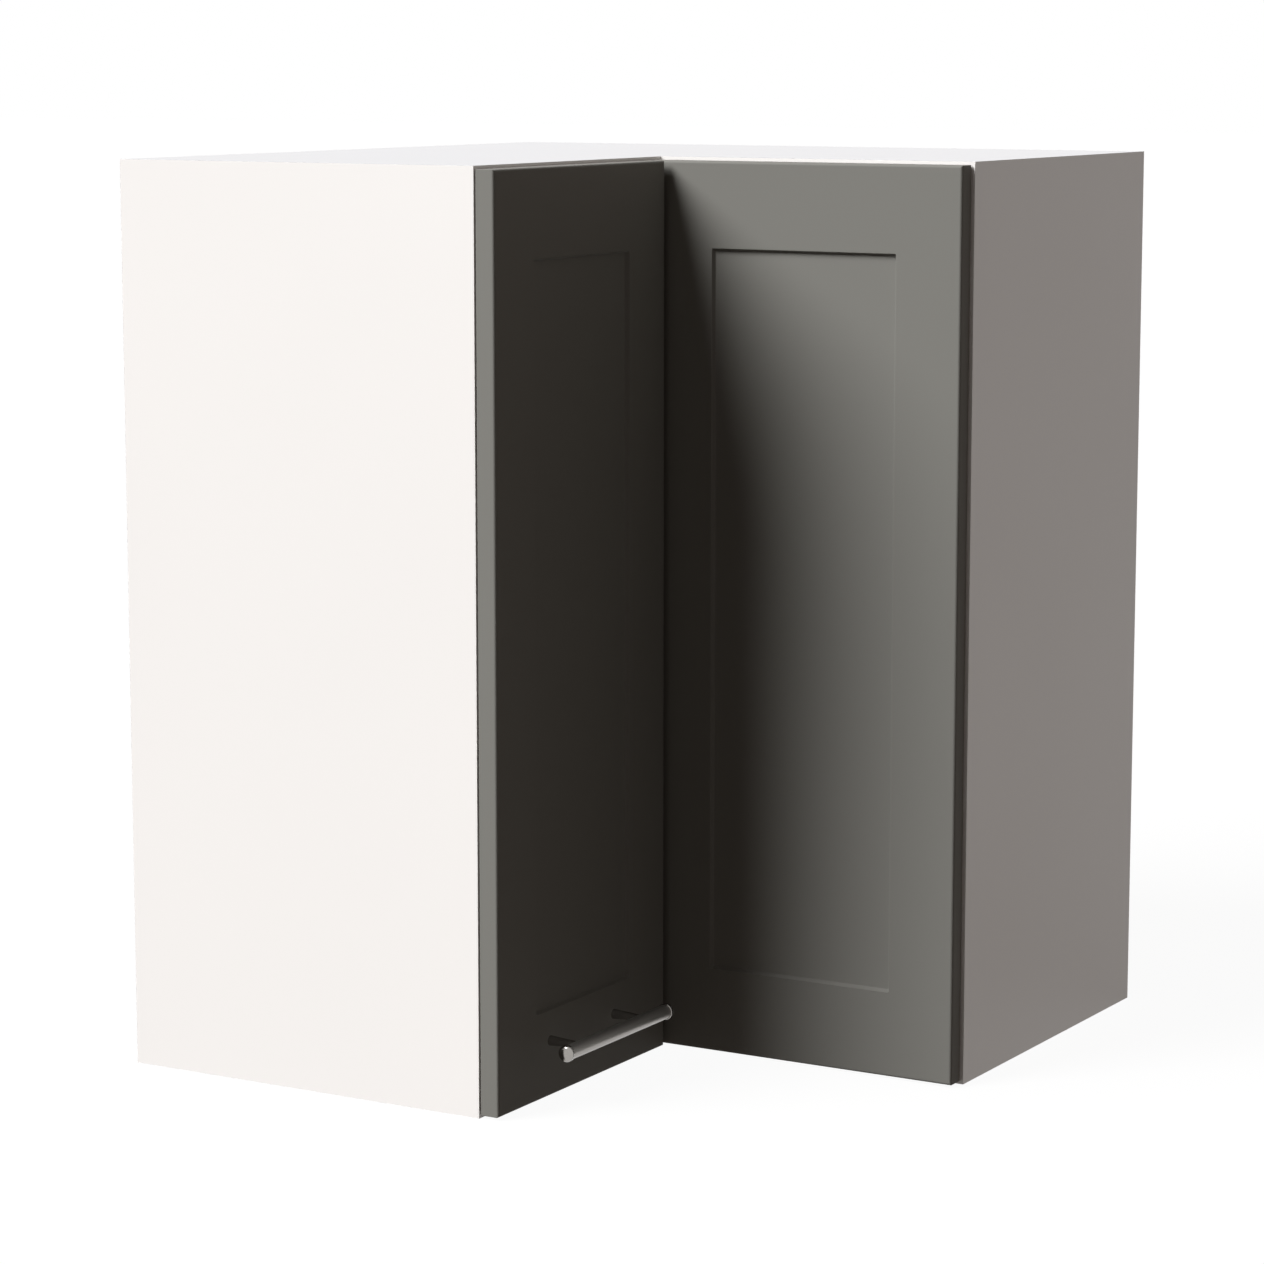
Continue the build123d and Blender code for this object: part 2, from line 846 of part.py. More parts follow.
# ---------------------------------------------------------------- doors
def door_blank(face, start, width):
    """A board with rounded front edges and a shallow field with a sloping step."""
    corner = face.from_local_coords(Vector(start, door_reveal_bottom, 0))
    front = Plane(origin=corner, x_dir=face.x_dir, z_dir=face.z_dir)
    field_width = width - 2 * stile_width
    field_height = door_height - 2 * rail_width
    with BuildPart() as door:
        with BuildSketch(front):
            Rectangle(width, door_height, align=(Align.MIN, Align.MIN))
        extrude(amount=-door_thickness)
        front_face = door.faces().sort_by(Axis(corner, face.z_dir))[-1]
        fillet(front_face.edges(), door_edge_round)
        for level, inset in ((0, 0), (-recess_depth, recess_slope)):
            with BuildSketch(front.offset(level)):
                with Locations((width / 2, door_height / 2)):
                    Rectangle(field_width - 2 * inset, field_height - 2 * inset)
        loft(ruled=True, mode=Mode.SUBTRACT)
    return door.part


cup_places = [
    (-pivot.X, z) for pivot in (cup_pivot, fold_cup_pivot) for z in hinge_heights
]
cup_screw_places = []
for pivot_x, direction in (
    (cup_pivot.X, -1),
    (fold_cup_pivot.X, 1),
):
    for z in hinge_heights:
        for side in (-1, 1):
            cup_screw_places.append(
                (
                    -(pivot_x + direction * cup_screw_back),
                    z + side * cup_screw_half_pitch,
                )
            )

with BuildPart() as right_door:
    add(door_blank(right_door_face, right_door_start, right_door_width))
    add(
        drill(
            right_door_rear,
            cup_places,
            cup_radius + cup_bore_clearance,
            cup_depth + cup_bore_clearance,
        ),
        mode=Mode.SUBTRACT,
    )
    add(
        drill(
            right_door_rear,
            cup_screw_places,
            small_screw_radius + pilot_clearance,
            small_screw_depth,
        ),
        mode=Mode.SUBTRACT,
    )
write(right_door.part, "right_door")

fold_plate_screws_at = [
    (-fold_plate_line, z + side * plate_screw_half_pitch)
    for z in hinge_heights
    for side in (-1, 1)
]
handle_holes_at = [(y, handle_height) for y in handle_posts_at]
with BuildPart() as left_door:
    add(door_blank(left_door_face, left_door_start, left_door_width))
    add(
        drill(
            left_door_rear,
            fold_plate_screws_at,
            small_screw_radius + pilot_clearance,
            fold_screw_depth,
        ),
        mode=Mode.SUBTRACT,
    )
    add(
        drill(left_door_face, handle_holes_at, handle_screw_hole_radius, door_thickness),
        mode=Mode.SUBTRACT,
    )
write(left_door.part, "left_door")


# ---------------------------------------------------------------- hinges
def hinge_cup(pivot, z, wing_direction):
    """Cup sunk into the right door's back, with its wings, its well and its pivot pin."""
    spot = Vector(pivot.X, -door_back, z)
    here = Plane(origin=spot, x_dir=(-1, 0, 0), z_dir=(0, 1, 0))
    wing_x = -wing_direction * cup_screw_back
    with BuildPart() as cup:
        with BuildSketch(here):
            Circle(cup_radius)
        extrude(amount=-cup_depth)
        with BuildSketch(here):
            Circle(cup_radius + cup_rim_overlap)
            with Locations((wing_x, 0)):
                RectangleRounded(cup_wing_width, cup_wing_length, cup_wing_round)
            with Locations((wing_x, -cup_screw_half_pitch), (wing_x, cup_screw_half_pitch)):
                Circle(small_screw_radius + pilot_clearance, mode=Mode.SUBTRACT)
        extrude(amount=cup_rim)
        with BuildSketch(here.offset(cup_rim)):
            Rectangle(cup_cavity_length, cup_cavity_width)
        extrude(amount=-(cup_cavity_depth + cup_rim), mode=Mode.SUBTRACT)
        with BuildSketch(Plane.XY.offset(z - cup_cavity_width / 2)):
            with Locations((pivot.X, pivot.Y)):
                Circle(pivot_radius)
        extrude(amount=cup_cavity_width)
    return cup.part


def mounting_plate(face_x, line_y, z):
    """Plate screwed to a face that looks towards -X, with the boss that the arm sits on."""
    here = Plane(origin=(face_x, line_y, z), x_dir=(0, -1, 0), z_dir=(-1, 0, 0))
    with BuildPart() as base:
        with BuildSketch(here):
            RectangleRounded(2 * plate_half_width, 2 * plate_half_span, plate_round)
            Rectangle(2 * plate_base_half_length, 2 * plate_base_half_width)
            with Locations((0, -plate_screw_half_pitch), (0, plate_screw_half_pitch)):
                Circle(plate_screw_radius + pilot_clearance, mode=Mode.SUBTRACT)
        extrude(amount=plate_thickness)
        with BuildSketch(here):
            Rectangle(2 * boss_half_length, 2 * boss_half_width)
            with Locations((-arm_screw_offset, 0)):
                Circle(arm_screw_radius + pilot_clearance, mode=Mode.SUBTRACT)
        extrude(amount=arm_height)
    return base.part


def hinge_arm(face_x, line_y, pivot, z):
    """Channel that sits over the boss and carries the swing link's pin at its nose."""
    web_x = face_x - arm_height
    nose_side = copysign(1, pivot.Y - line_y)
    tail = line_y - nose_side * arm_half_length
    neck = line_y + nose_side * arm_half_length
    throat = neck - nose_side * arm_throat
    wall_x = web_x - arm_web + arm_wall_height / 2
    with BuildPart() as arm:
        add(block((web_x - arm_web, web_x), sorted((tail, neck)), (z - arm_outer, z + arm_outer)))
        for low in (z - arm_outer, z + arm_inner):
            with BuildSketch(Plane.XY.offset(low)):
                with Locations((pivot.X, pivot.Y)):
                    Circle(arm_nose_radius)
                with Locations((wall_x, (neck + throat) / 2)):
                    Rectangle(arm_wall_height, arm_throat)
                make_hull()
                with Locations((wall_x, line_y)):
                    Rectangle(arm_wall_height, 2 * arm_half_length)
            extrude(amount=arm_outer - arm_inner)
        with BuildSketch(Plane.XY.offset(z - arm_outer)):
            with Locations((pivot.X, pivot.Y)):
                Circle(arm_pivot_radius)
        extrude(amount=2 * arm_outer)
        arm_face = Plane(origin=(web_x, line_y, z), x_dir=(0, -1, 0), z_dir=(-1, 0, 0))
        with BuildSketch(arm_face):
            with Locations((-arm_screw_offset, 0)):
                Circle(arm_screw_radius + pilot_clearance)
        extrude(amount=arm_web, mode=Mode.SUBTRACT)
    return arm.part


def swing_link(pin, joint, z):
    """Two side plates from the arm's pin to the free pin, which joins them."""
    with BuildPart() as link:
        for low in (z - link_a_outer, z + link_a_inner):
            with BuildSketch(Plane.XY.offset(low)):
                with Locations((pin.X, pin.Y), (joint.X, joint.Y)):
                    Circle(link_end_radius)
                make_hull()
                with Locations((pin.X, pin.Y)):
                    Circle(arm_pivot_radius + running_clearance, mode=Mode.SUBTRACT)
            extrude(amount=link_a_outer - link_a_inner)
        with BuildSketch(Plane.XY.offset(z - link_a_outer)):
            with Locations((joint.X, joint.Y)):
                Circle(pivot_radius)
        extrude(amount=2 * link_a_outer)
    return link.part


def cup_link(pin, joint, z):
    """Single plate from the cup's pin to the free pin."""
    with BuildPart() as link:
        with BuildSketch(Plane.XY.offset(z - link_b_half)):
            with Locations((pin.X, pin.Y), (joint.X, joint.Y)):
                Circle(link_half_width)
            make_hull()
            with Locations((pin.X, pin.Y), (joint.X, joint.Y)):
                Circle(link_end_radius)
            with Locations((pin.X, pin.Y)):
                Circle(pivot_radius + running_clearance, mode=Mode.SUBTRACT)
            with Locations((joint.X, joint.Y)):
                Circle(pivot_radius + open_pivot_clearance, mode=Mode.SUBTRACT)
        extrude(amount=2 * link_b_half)
    return link.part


for name, z in zip(("lower", "upper"), hinge_heights):
    write(mounting_plate(end_face, plate_line, z), f"{name}_hinge_plate")
    write(hinge_arm(end_face, plate_line, arm_pivot, z), f"{name}_hinge_arm")
    write(hinge_cup(cup_pivot, z, -1), f"{name}_hinge_cup")
    write(swing_link(arm_pivot, link_pivot, z), f"{name}_hinge_swing_link")
    write(cup_link(cup_pivot, link_pivot, z), f"{name}_hinge_cup_link")
    write(mounting_plate(door_back, fold_plate_line, z), f"{name}_fold_hinge_plate")
    write(hinge_arm(door_back, fold_plate_line, fold_arm_pivot, z), f"{name}_fold_hinge_arm")
    write(hinge_cup(fold_cup_pivot, z, 1), f"{name}_fold_hinge_cup")
    write(swing_link(fold_arm_pivot, fold_link_pivot, z), f"{name}_fold_hinge_swing_link")
    write(cup_link(fold_cup_pivot, fold_link_pivot, z), f"{name}_fold_hinge_cup_link")

plate_screws = [
    screw(
        right_end_inner,
        place,
        plate_screw_radius,
        plate_screw_depth,
        plate_screw_head_radius,
        plate_screw_head,
        plate_thickness,
    )
    for place in plate_screws_at
]
write(group(plate_screws), "hinge_plate_screws")

fold_plate_screws = [
    screw(
        left_door_rear,
        place,
        small_screw_radius,
        fold_screw_depth,
        small_screw_head_radius,
        small_screw_head,
        plate_thickness,
    )
    for place in fold_plate_screws_at
]
write(group(fold_plate_screws), "fold_hinge_plate_screws")

arm_screws = [
    screw(
        right_end_inner,
        (-plate_line - arm_screw_offset, z),
        arm_screw_radius,
        -arm_height + arm_screw_depth,
        arm_screw_head_radius,
        arm_screw_head,
        arm_height + arm_web,
    )
    for z in hinge_heights
]
write(group(arm_screws), "hinge_arm_screws")

fold_arm_screws = [
    screw(
        left_door_rear,
        (-fold_plate_line - arm_screw_offset, z),
        arm_screw_radius,
        -arm_height + arm_screw_depth,
        arm_screw_head_radius,
        arm_screw_head,
        arm_height + arm_web,
    )
    for z in hinge_heights
]
write(group(fold_arm_screws), "fold_hinge_arm_screws")

cup_screws = [
    screw(
        right_door_rear,
        place,
        small_screw_radius,
        small_screw_depth,
        small_screw_head_radius,
        small_screw_head,
        cup_rim,
    )
    for place in cup_screw_places
]
write(group(cup_screws), "hinge_cup_screws")

# ---------------------------------------------------------------- handle
bar_x = door_front + handle_standoff
bar_start = handle_middle - handle_length / 2
bar_face = Plane(origin=(bar_x, bar_start, handle_height), x_dir=(-1, 0, 0), z_dir=(0, 1, 0))

with BuildPart() as handle_bar:
    with BuildSketch(bar_face.offset(handle_collar_length)):
        Circle(handle_bar_radius)
    extrude(amount=handle_length - 2 * handle_collar_length)
write(handle_bar.part, "handle_bar")

with BuildPart() as near_collar:
    with BuildSketch(bar_face):
        Circle(handle_collar_radius)
    extrude(amount=handle_collar_length)
    fillet(near_collar.faces().sort_by(Axis.Y)[0].edges(), handle_collar_round)
far_collar = mirror(near_collar.part, about=Plane.XZ.offset(-handle_middle))
write(group([near_collar.part, far_collar]), "handle_collars")

post_outline = [
    (0, 0),
    (post_foot_radius, 0),
    (post_waist_radius, handle_standoff - handle_bar_radius),
    (post_waist_radius, handle_standoff),
    (0, handle_standoff),
]
with BuildPart() as handle_posts:
    for place in handle_holes_at:
        add(turned(left_door_face, place, post_outline))
    with BuildSketch(bar_face):
        Circle(handle_bar_radius + post_seat_clearance)
    extrude(amount=handle_length, mode=Mode.SUBTRACT)
    add(
        drill(
            left_door_face,
            handle_holes_at,
            handle_screw_radius + post_seat_clearance,
            0,
            handle_screw_in_post + post_seat_clearance,
        ),
        mode=Mode.SUBTRACT,
    )
write(handle_posts.part, "handle_posts")

handle_screws = [
    screw(
        left_door_rear,
        (-y, z),
        handle_screw_radius,
        door_thickness + handle_screw_in_post,
        handle_screw_head_radius,
        handle_screw_head,
    )
    for y, z in handle_holes_at
]
write(group(handle_screws), "handle_screws")

# ---------------------------------------------------------------- door bumpers
bumper_y = -half + board / 2
bumper_height = door_gap - bumper_clearance
bumper_outline = [
    (0, 0),
    (bumper_radius, 0),
    (bumper_radius - bumper_draft, bumper_height),
    (0, bumper_height),
]
bumpers = [
    turned(left_door_rear, (-bumper_y, z), bumper_outline)
    for z in (bumper_from_end, height - bumper_from_end)
]
write(group(bumpers), "door_bumpers")
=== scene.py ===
"""Dresses the corner wall cabinet: its doors, handle, screws and finishes, in a plain studio.

Metres, +Z up, in the cabinet's own frame: the walls stand at -X and +Y, and the notch between the
two legs faces +X and -Y. Each new piece takes its place and its outer size from the box of the
node that it stands for.
"""

import math

import bpy
import numpy as np
from bpy.props import FloatProperty, FloatVectorProperty, IntProperty, PointerProperty
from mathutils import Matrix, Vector


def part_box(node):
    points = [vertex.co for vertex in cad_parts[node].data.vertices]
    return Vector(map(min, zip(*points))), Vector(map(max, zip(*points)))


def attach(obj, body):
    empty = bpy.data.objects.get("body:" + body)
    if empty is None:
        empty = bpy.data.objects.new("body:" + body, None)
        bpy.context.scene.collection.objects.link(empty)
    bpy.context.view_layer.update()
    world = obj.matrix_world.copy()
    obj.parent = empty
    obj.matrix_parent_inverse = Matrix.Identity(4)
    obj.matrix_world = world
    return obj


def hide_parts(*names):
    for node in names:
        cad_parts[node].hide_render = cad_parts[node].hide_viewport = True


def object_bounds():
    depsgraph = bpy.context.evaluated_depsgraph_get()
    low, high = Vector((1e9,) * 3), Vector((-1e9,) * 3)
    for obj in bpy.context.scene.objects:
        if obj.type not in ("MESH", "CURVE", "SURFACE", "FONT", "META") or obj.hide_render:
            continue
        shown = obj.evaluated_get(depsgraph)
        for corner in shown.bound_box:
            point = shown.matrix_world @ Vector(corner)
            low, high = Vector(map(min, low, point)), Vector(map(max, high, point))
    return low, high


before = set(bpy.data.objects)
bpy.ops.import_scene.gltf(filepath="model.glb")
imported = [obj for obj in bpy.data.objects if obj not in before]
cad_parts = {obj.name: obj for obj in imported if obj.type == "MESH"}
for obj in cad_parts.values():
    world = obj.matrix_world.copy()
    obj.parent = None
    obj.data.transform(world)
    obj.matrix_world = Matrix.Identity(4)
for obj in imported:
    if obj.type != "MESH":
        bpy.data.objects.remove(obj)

bl_info = {
    "name": "Corner wall cabinet",
    "version": (1, 0, 0),
    "blender": (4, 5, 0),
    "location": "View3D > Sidebar > Cabinet",
    "description": "Builds the doors, handle, screws and finishes of a corner wall cabinet",
    "category": "Object",
}

MM = 0.001
SAME_POINT = 6  # two points are one where this many decimals of a metre agree
cad_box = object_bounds()

LEVELS = ("lower", "upper")
SCREW_NODES = {
    "back_panel_screws": "carcass",
    "hinge_plate_screws": "carcass",
    "hinge_arm_screws": "carcass",
    "hanger_adjusting_screws": "carcass",
    "hanger_fixing_screws": "carcass",
    "hinge_cup_screws": "right_door",
    "fold_hinge_plate_screws": "left_door",
    "fold_hinge_arm_screws": "left_door",
    "handle_screws": "left_door",
}


# -------------------------------- the frame's places
def node_box(node):
    """The lowest and the highest corner of a node, as two arrays."""
    low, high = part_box(node)
    return np.array(low), np.array(high)


def node_solids(node):
    """The points of each separate solid of a node. Triangles that share a point pass each other
    the lowest number among their points, until every solid has one number."""
    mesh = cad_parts[node].data
    points = np.empty(len(mesh.vertices) * 3)
    mesh.vertices.foreach_get("co", points)
    mesh.calc_loop_triangles()
    corners = np.empty(len(mesh.loop_triangles) * 3, int)
    mesh.loop_triangles.foreach_get("vertices", corners)
    places, number = np.unique(
        np.round(points.reshape(-1, 3), SAME_POINT), axis=0, return_inverse=True
    )
    triangles = number.ravel()[corners].reshape(-1, 3)
    labels = np.arange(len(places))
    while True:
        lowest = labels.copy()
        np.minimum.at(lowest, triangles.ravel(), np.repeat(labels[triangles].min(axis=1), 3))
        if np.array_equal(lowest, labels):
            return [places[labels == label] for label in np.unique(labels)]
        labels = lowest


FRONT_X = node_box("left_side_panel")[1][0]  # the carcass's front edges
FRONT_Y, WALL = (corner[1] for corner in node_box("right_side_panel"))
SHELF_SETBACK = 22 * MM  # a shelf's front edges behind the carcass's
BACK_OUTER = node_box("rear_back_panel")[1][1]  # the back boards' wall side
TOP = cad_box[1][2]


# -------------------------------- sizes and colours
def length(name, description, default):
    """A length in metres that a user can change."""
    return FloatProperty(
        name=name, description=description, default=default, min=0.0, unit="LENGTH"
    )


def angle(name, description, degrees):
    """An angle that a user can change."""
    return FloatProperty(
        name=name, description=description, default=math.radians(degrees), subtype="ANGLE"
    )


def colour(name, description, default):
    """A colour that a user can change."""
    return FloatVectorProperty(
        name=name, description=description, default=default, min=0.0, max=1.0, subtype="COLOR"
    )


def amount(name, description, default):
    """A plain number that a user can change."""
    return FloatProperty(name=name, description=description, default=default, min=0.0)


class DoorSizes(bpy.types.PropertyGroup):
    """Sizes of the two framed doors."""

    stile: length("Stile", "Width of the upright members", 55 * MM)
    rail: length("Rail", "Height of the cross members", 68 * MM)
    depth: length("Recess depth", "Depth of the flat field below the frame", 3.5 * MM)
    slope: length("Recess slope", "Width of the sloping step round the field", 1.6 * MM)
    top_round: length("Step top round", "Radius where the frame turns into the step", 0.5 * MM)
    foot_round: length("Step foot round", "Radius where the step turns into the field", 0.8 * MM)
    edge_round: length("Edge round", "Radius of the front edges", 2 * MM)
    corner_round: length("Corner round", "Radius of the outline's corners", 0.4 * MM)
    inner_corner: length("Field corner", "Radius of the field's corners", 1.2 * MM)
    back_bevel: length("Back bevel", "Bevel of the back edges", 0.4 * MM)
    bore_radius: length("Hinge bore radius", "Radius of the bores for the hinge cups", 17.6 * MM)
    bore_depth: length("Hinge bore depth", "Depth of the bores for the hinge cups", 11.6 * MM)


class HandleSizes(bpy.types.PropertyGroup):
    """Sizes of the bar handle that its node boxes don't give."""

    collar_length: length("Collar length", "Length of each end collar", 5 * MM)
    collar_round: length("Collar round", "Radius at a collar's outer end", 2.4 * MM)
    collar_dome: length("Collar dome", "Rise of a collar's end face", 0.5 * MM)
    collar_lip: length("Collar lip", "Radius at a collar's inner end", 0.4 * MM)
    groove: length("Groove", "Width and depth of the groove beside each collar", 0.45 * MM)
    foot_round: length("Post foot round", "Radius of the edge at a post's foot", 0.1 * MM)
    waist: length("Post waist", "Radius of a post under the bar", 2.2 * MM)
    segments: IntProperty(name="Segments", description="Faces round the bar", default=96, min=12)


class ScrewSizes(bpy.types.PropertyGroup):
    """Proportions of a screw head, as shares of its radius."""

    recess_reach: amount("Recess reach", "Half length of the cross recess", 0.58)
    recess_width: amount("Recess width", "Half width of each arm of the recess", 0.13)
    recess_depth: amount("Recess depth", "Depth of the recess as a share of the head", 0.42)
    crown: amount("Crown", "Share of the head's height that is domed", 0.45)
    segments: IntProperty(name="Segments", description="Faces round a screw", default=48, min=12)


class Finishes(bpy.types.PropertyGroup):
    """Colours of the finishes."""

    board: colour("Boards", "White melamine of the boards", (0.885, 0.862, 0.842))
    # Painted shade: the carcass's top faces get this darker, cooler white in place of the boards'
    # own, for how the light falls on them
    top: colour("Top faces", "Shaded melamine on top of the carcass", (0.688, 0.689, 0.708))
    chip: colour("Chips", "Pale chips in a raw board edge", (0.56, 0.40, 0.24))
    chip_dark: colour("Dark chips", "Dark chips in a raw board edge", (0.30, 0.18, 0.09))
    back: colour("Back boards", "White face of the back boards", (0.84, 0.83, 0.81))
    fibre: colour("Fibreboard", "Raw wall side of the back boards", (0.27, 0.155, 0.078))
    door: colour("Doors", "Matt warm grey film", (0.217, 0.2145, 0.198))
    chrome: colour("Chrome", "Chrome plate", (0.34, 0.323, 0.303))
    nickel: colour("Hinge steel", "Nickel-plated pressed steel", (0.62, 0.61, 0.58))
    zinc: colour("Zinc", "Plain die-cast zinc", (0.55, 0.55, 0.54))
    screw: colour("Screws", "Zinc-plated steel", (0.60, 0.58, 0.50))
    beech: colour("Beech", "Plain beech dowels", (0.62, 0.45, 0.27))
    moulded: colour("Moulded plastic", "Hanger housings", (0.82, 0.82, 0.80))
    cap: colour("Caps", "Cover caps and hanger covers", (0.85, 0.84, 0.82))
    clear: colour("Bumpers", "Soft translucent plastic", (0.70, 0.70, 0.68))


class StudioSettings(bpy.types.PropertyGroup):
    """Camera, lamps and surroundings."""

    lens: FloatProperty(
        name="Lens", description="Focal length in millimetres", default=110.4,
        subtype="DISTANCE_CAMERA",
    )
    sensor: FloatProperty(
        name="Sensor", description="Sensor width in millimetres", default=36.0,
        subtype="DISTANCE_CAMERA",
    )
    camera_place: FloatVectorProperty(
        name="Camera", description="Camera's place", default=(1.57268, -2.70673, 0.81),
        subtype="XYZ",
    )
    camera_aim: FloatVectorProperty(
        name="Aim", description="Camera's viewing direction", default=(-0.5005, 0.8526, -0.1506),
        subtype="DIRECTION",
    )
    key_from: FloatVectorProperty(
        name="Key direction", description="From the cabinet towards the key lamp",
        default=(-0.4477, -0.6186, 0.6459), subtype="DIRECTION",
    )
    key_spread: angle("Key spread", "Angle that the key lamp fills", 33.8)
    key_strength: amount("Key strength", "Strength of the key lamp", 4.72)
    ambient: colour("Ambient", "Light from all round", (0.084, 0.07, 0.0614))
    fill: colour("Fill", "Broad light from the open side, at its brightest", (0.396, 0.33, 0.29))
    fill_from: FloatVectorProperty(
        name="Fill direction", description="From the cabinet towards the middle of the fill",
        default=(0.5, 0.866, 0.0), subtype="DIRECTION",
    )
    fill_focus: amount("Fill focus", "How fast the fill fades away from its middle", 4.0)
    floor_share: amount("Floor glow", "Share of the floor that shows as plain white", 0.94)
    floor_glow: amount("Floor white", "Strength of that white", 1.01)
    floor_seen: amount("Floor seen", "Colour of the floor's share that takes shadow", 0.9)
    floor_size: length("Floor size", "Side of the floor", 60.0)


# -------------------------------- surfaces
NEARLY_ALONG = 0.9  # cosine above which two directions count as nearly the same
CREASE = math.radians(30)  # a cut piece's edges that bend by more than this stay crisp


def rounded_rings(width, height, across, up, radii, steps):
    """Nested rounded rectangles, as an array (rings, points, 2). Ring k is inset by across[k] and
    up[k]. A point at angle a lies on its quarter's corner arc: the arc's centre plus the ring's
    radius times (cos a, sin a)."""
    turn = (np.repeat(np.arange(4), steps) + np.tile(np.linspace(0, 1, steps), 4)) * math.pi / 2
    side_u = np.repeat([1, -1, -1, 1], steps)
    side_v = np.repeat([1, 1, -1, -1], steps)
    across, up, radii = (np.asarray(values)[:, None] for values in (across, up, radii))
    u = width / 2 + side_u * (width / 2 - across - radii) + radii * np.cos(turn)
    v = height / 2 + side_v * (height / 2 - up - radii) + radii * np.sin(turn)
    return np.stack([u, v], axis=-1)


def turned_rings(profile, steps):
    """A surface of revolution about the local z axis, as an array (rings, points, 3). The point at
    radius r, height h and angle a is (r cos a, r sin a, h)."""
    radius, height = np.asarray(profile, float).T[:, :, None]
    turn = np.arange(steps) * 2 * math.pi / steps
    heights = np.broadcast_to(height, (len(radius), steps))
    return np.stack([radius * np.cos(turn), radius * np.sin(turn), heights], axis=-1)


def arc(centre, radius, start, end, steps):
    """Points on an arc: centre plus radius times (cos a, sin a), a from start to end degrees."""
    turn = np.radians(np.linspace(start, end, steps))
    return np.asarray(centre) + radius * np.stack([np.cos(turn), np.sin(turn)], axis=-1)


def axes_along(direction):
    """Three unit vectors, the third along direction, that make a right-handed frame. The first
    is square to a helper axis: z, or x where direction itself is nearly along z."""
    third = np.asarray(direction, float)
    third = third / np.linalg.norm(third)
    upright = abs(third[2]) > NEARLY_ALONG
    helper = np.array([1.0, 0.0, 0.0]) if upright else np.array([0.0, 0.0, 1.0])
    first = np.cross(helper, third)
    first = first / np.linalg.norm(first)
    return np.stack([first, np.cross(third, first), third])


def skin(name, grids):
    """One mesh object over closed skins. Each grid is an array (rings, points, 3): four-sided
    faces join a ring to the next and wrap round, and one face closes each end. The rings run
    towards the skin's outer end and the points counter-clockwise as seen from there, so that the
    faces point outwards."""
    faces = []
    first = 0
    for grid in grids:
        rings, around = grid.shape[:2]
        index = first + np.arange(rings * around).reshape(rings, around)
        ahead = np.roll(index, -1, axis=1)
        quads = np.stack([index[:-1], ahead[:-1], ahead[1:], index[1:]], axis=-1)
        faces += quads.reshape(-1, 4).tolist()
        faces += [index[0, ::-1].tolist(), index[-1].tolist()]
        first += rings * around
    mesh = bpy.data.meshes.new(name)
    mesh.from_pydata(np.concatenate([grid.reshape(-1, 3) for grid in grids]).tolist(), [], faces)
    mesh.shade_smooth()
    piece = bpy.data.objects.new(name, mesh)
    bpy.context.scene.collection.objects.link(piece)
    return piece


def finish_piece(piece, node, body, material):
    """Give a new piece its material and its body, and hide the node that it stands for."""
    piece.data.materials.append(material)
    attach(piece, body)
    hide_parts(node)


def cut(piece, cutter):
    """Take the cutter's solid out of a piece and delete the cutter. Its crisp edges keep a flat
    face with a bore in it shading flat."""
    modifier = piece.modifiers.new("cut", "BOOLEAN")
    modifier.operation = "DIFFERENCE"
    modifier.solver = "EXACT"
    modifier.object = cutter
    graph = bpy.context.evaluated_depsgraph_get()
    plain = piece.data
    piece.data = bpy.data.meshes.new_from_object(piece.evaluated_get(graph))
    piece.modifiers.clear()
    piece.data.set_sharp_from_angle(angle=CREASE)
    bpy.data.meshes.remove(plain)
    bpy.data.objects.remove(cutter)


# -------------------------------- doors
SUPPORT = 0.15 * MM  # how near a flat's own points lie to a round, so that the flat shades flat
ARC_STEPS = 8
CORNER_STEPS = 9
BORE_STEPS = 96


def step_profile(sizes):
    """The recess's step, as rows of (distance inwards, height). It is a straight slope between two
    arcs that touch it: one turns down from the frame, the other levels out into the field."""
    tilt = math.atan2(sizes.depth, sizes.slope)
    top_reach = sizes.top_round * math.tan(tilt / 2)
    foot_reach = sizes.foot_round * math.tan(tilt / 2)
    turned = 90 - math.degrees(tilt)
    top = arc((-top_reach, -sizes.top_round), sizes.top_round, 90, turned, ARC_STEPS)
    foot_centre = (sizes.slope + foot_reach, sizes.foot_round - sizes.depth)
    foot = arc(foot_centre, sizes.foot_round, turned - 180, -90, ARC_STEPS)
    lead = [(-top_reach - SUPPORT, 0.0)]
    rest = [(sizes.slope + foot_reach + SUPPORT, -sizes.depth)]
    return np.concatenate([lead, top, foot, rest])


def door_rings(width, height, thickness, sizes):
    """A framed door as nested rounded rectangles, from the middle of its back, round its edge and
    over its frame to the flat field. Local u is across, v up and w towards the front."""
    bevel = sizes.back_bevel
    edge = sizes.edge_round
    round_over = arc((edge, thickness - edge), edge, 180, 90, ARC_STEPS)
    outer = np.concatenate(
        [
            [(bevel + SUPPORT, 0.0), (bevel, 0.0), (0.0, bevel), (0.0, bevel + SUPPORT)],
            [(0.0, thickness - edge - SUPPORT)],
            round_over,
            [(edge + SUPPORT, thickness)],
        ]
    )
    outer_radii = np.maximum(sizes.corner_round - outer[:, 0], SUPPORT)
    step = step_profile(sizes)
    inner_radii = np.full(len(step), sizes.inner_corner)
    across = np.concatenate([outer[:, 0], sizes.stile + step[:, 0]])
    up = np.concatenate([outer[:, 0], sizes.rail + step[:, 0]])
    front = np.concatenate([outer[:, 1], thickness + step[:, 1]])
    radii = np.concatenate([outer_radii, inner_radii])
    flat = rounded_rings(width, height, across, up, radii, CORNER_STEPS)
    heights = np.broadcast_to(front[:, None, None], flat.shape[:2] + (1,))
    return np.concatenate([flat, heights], axis=-1)


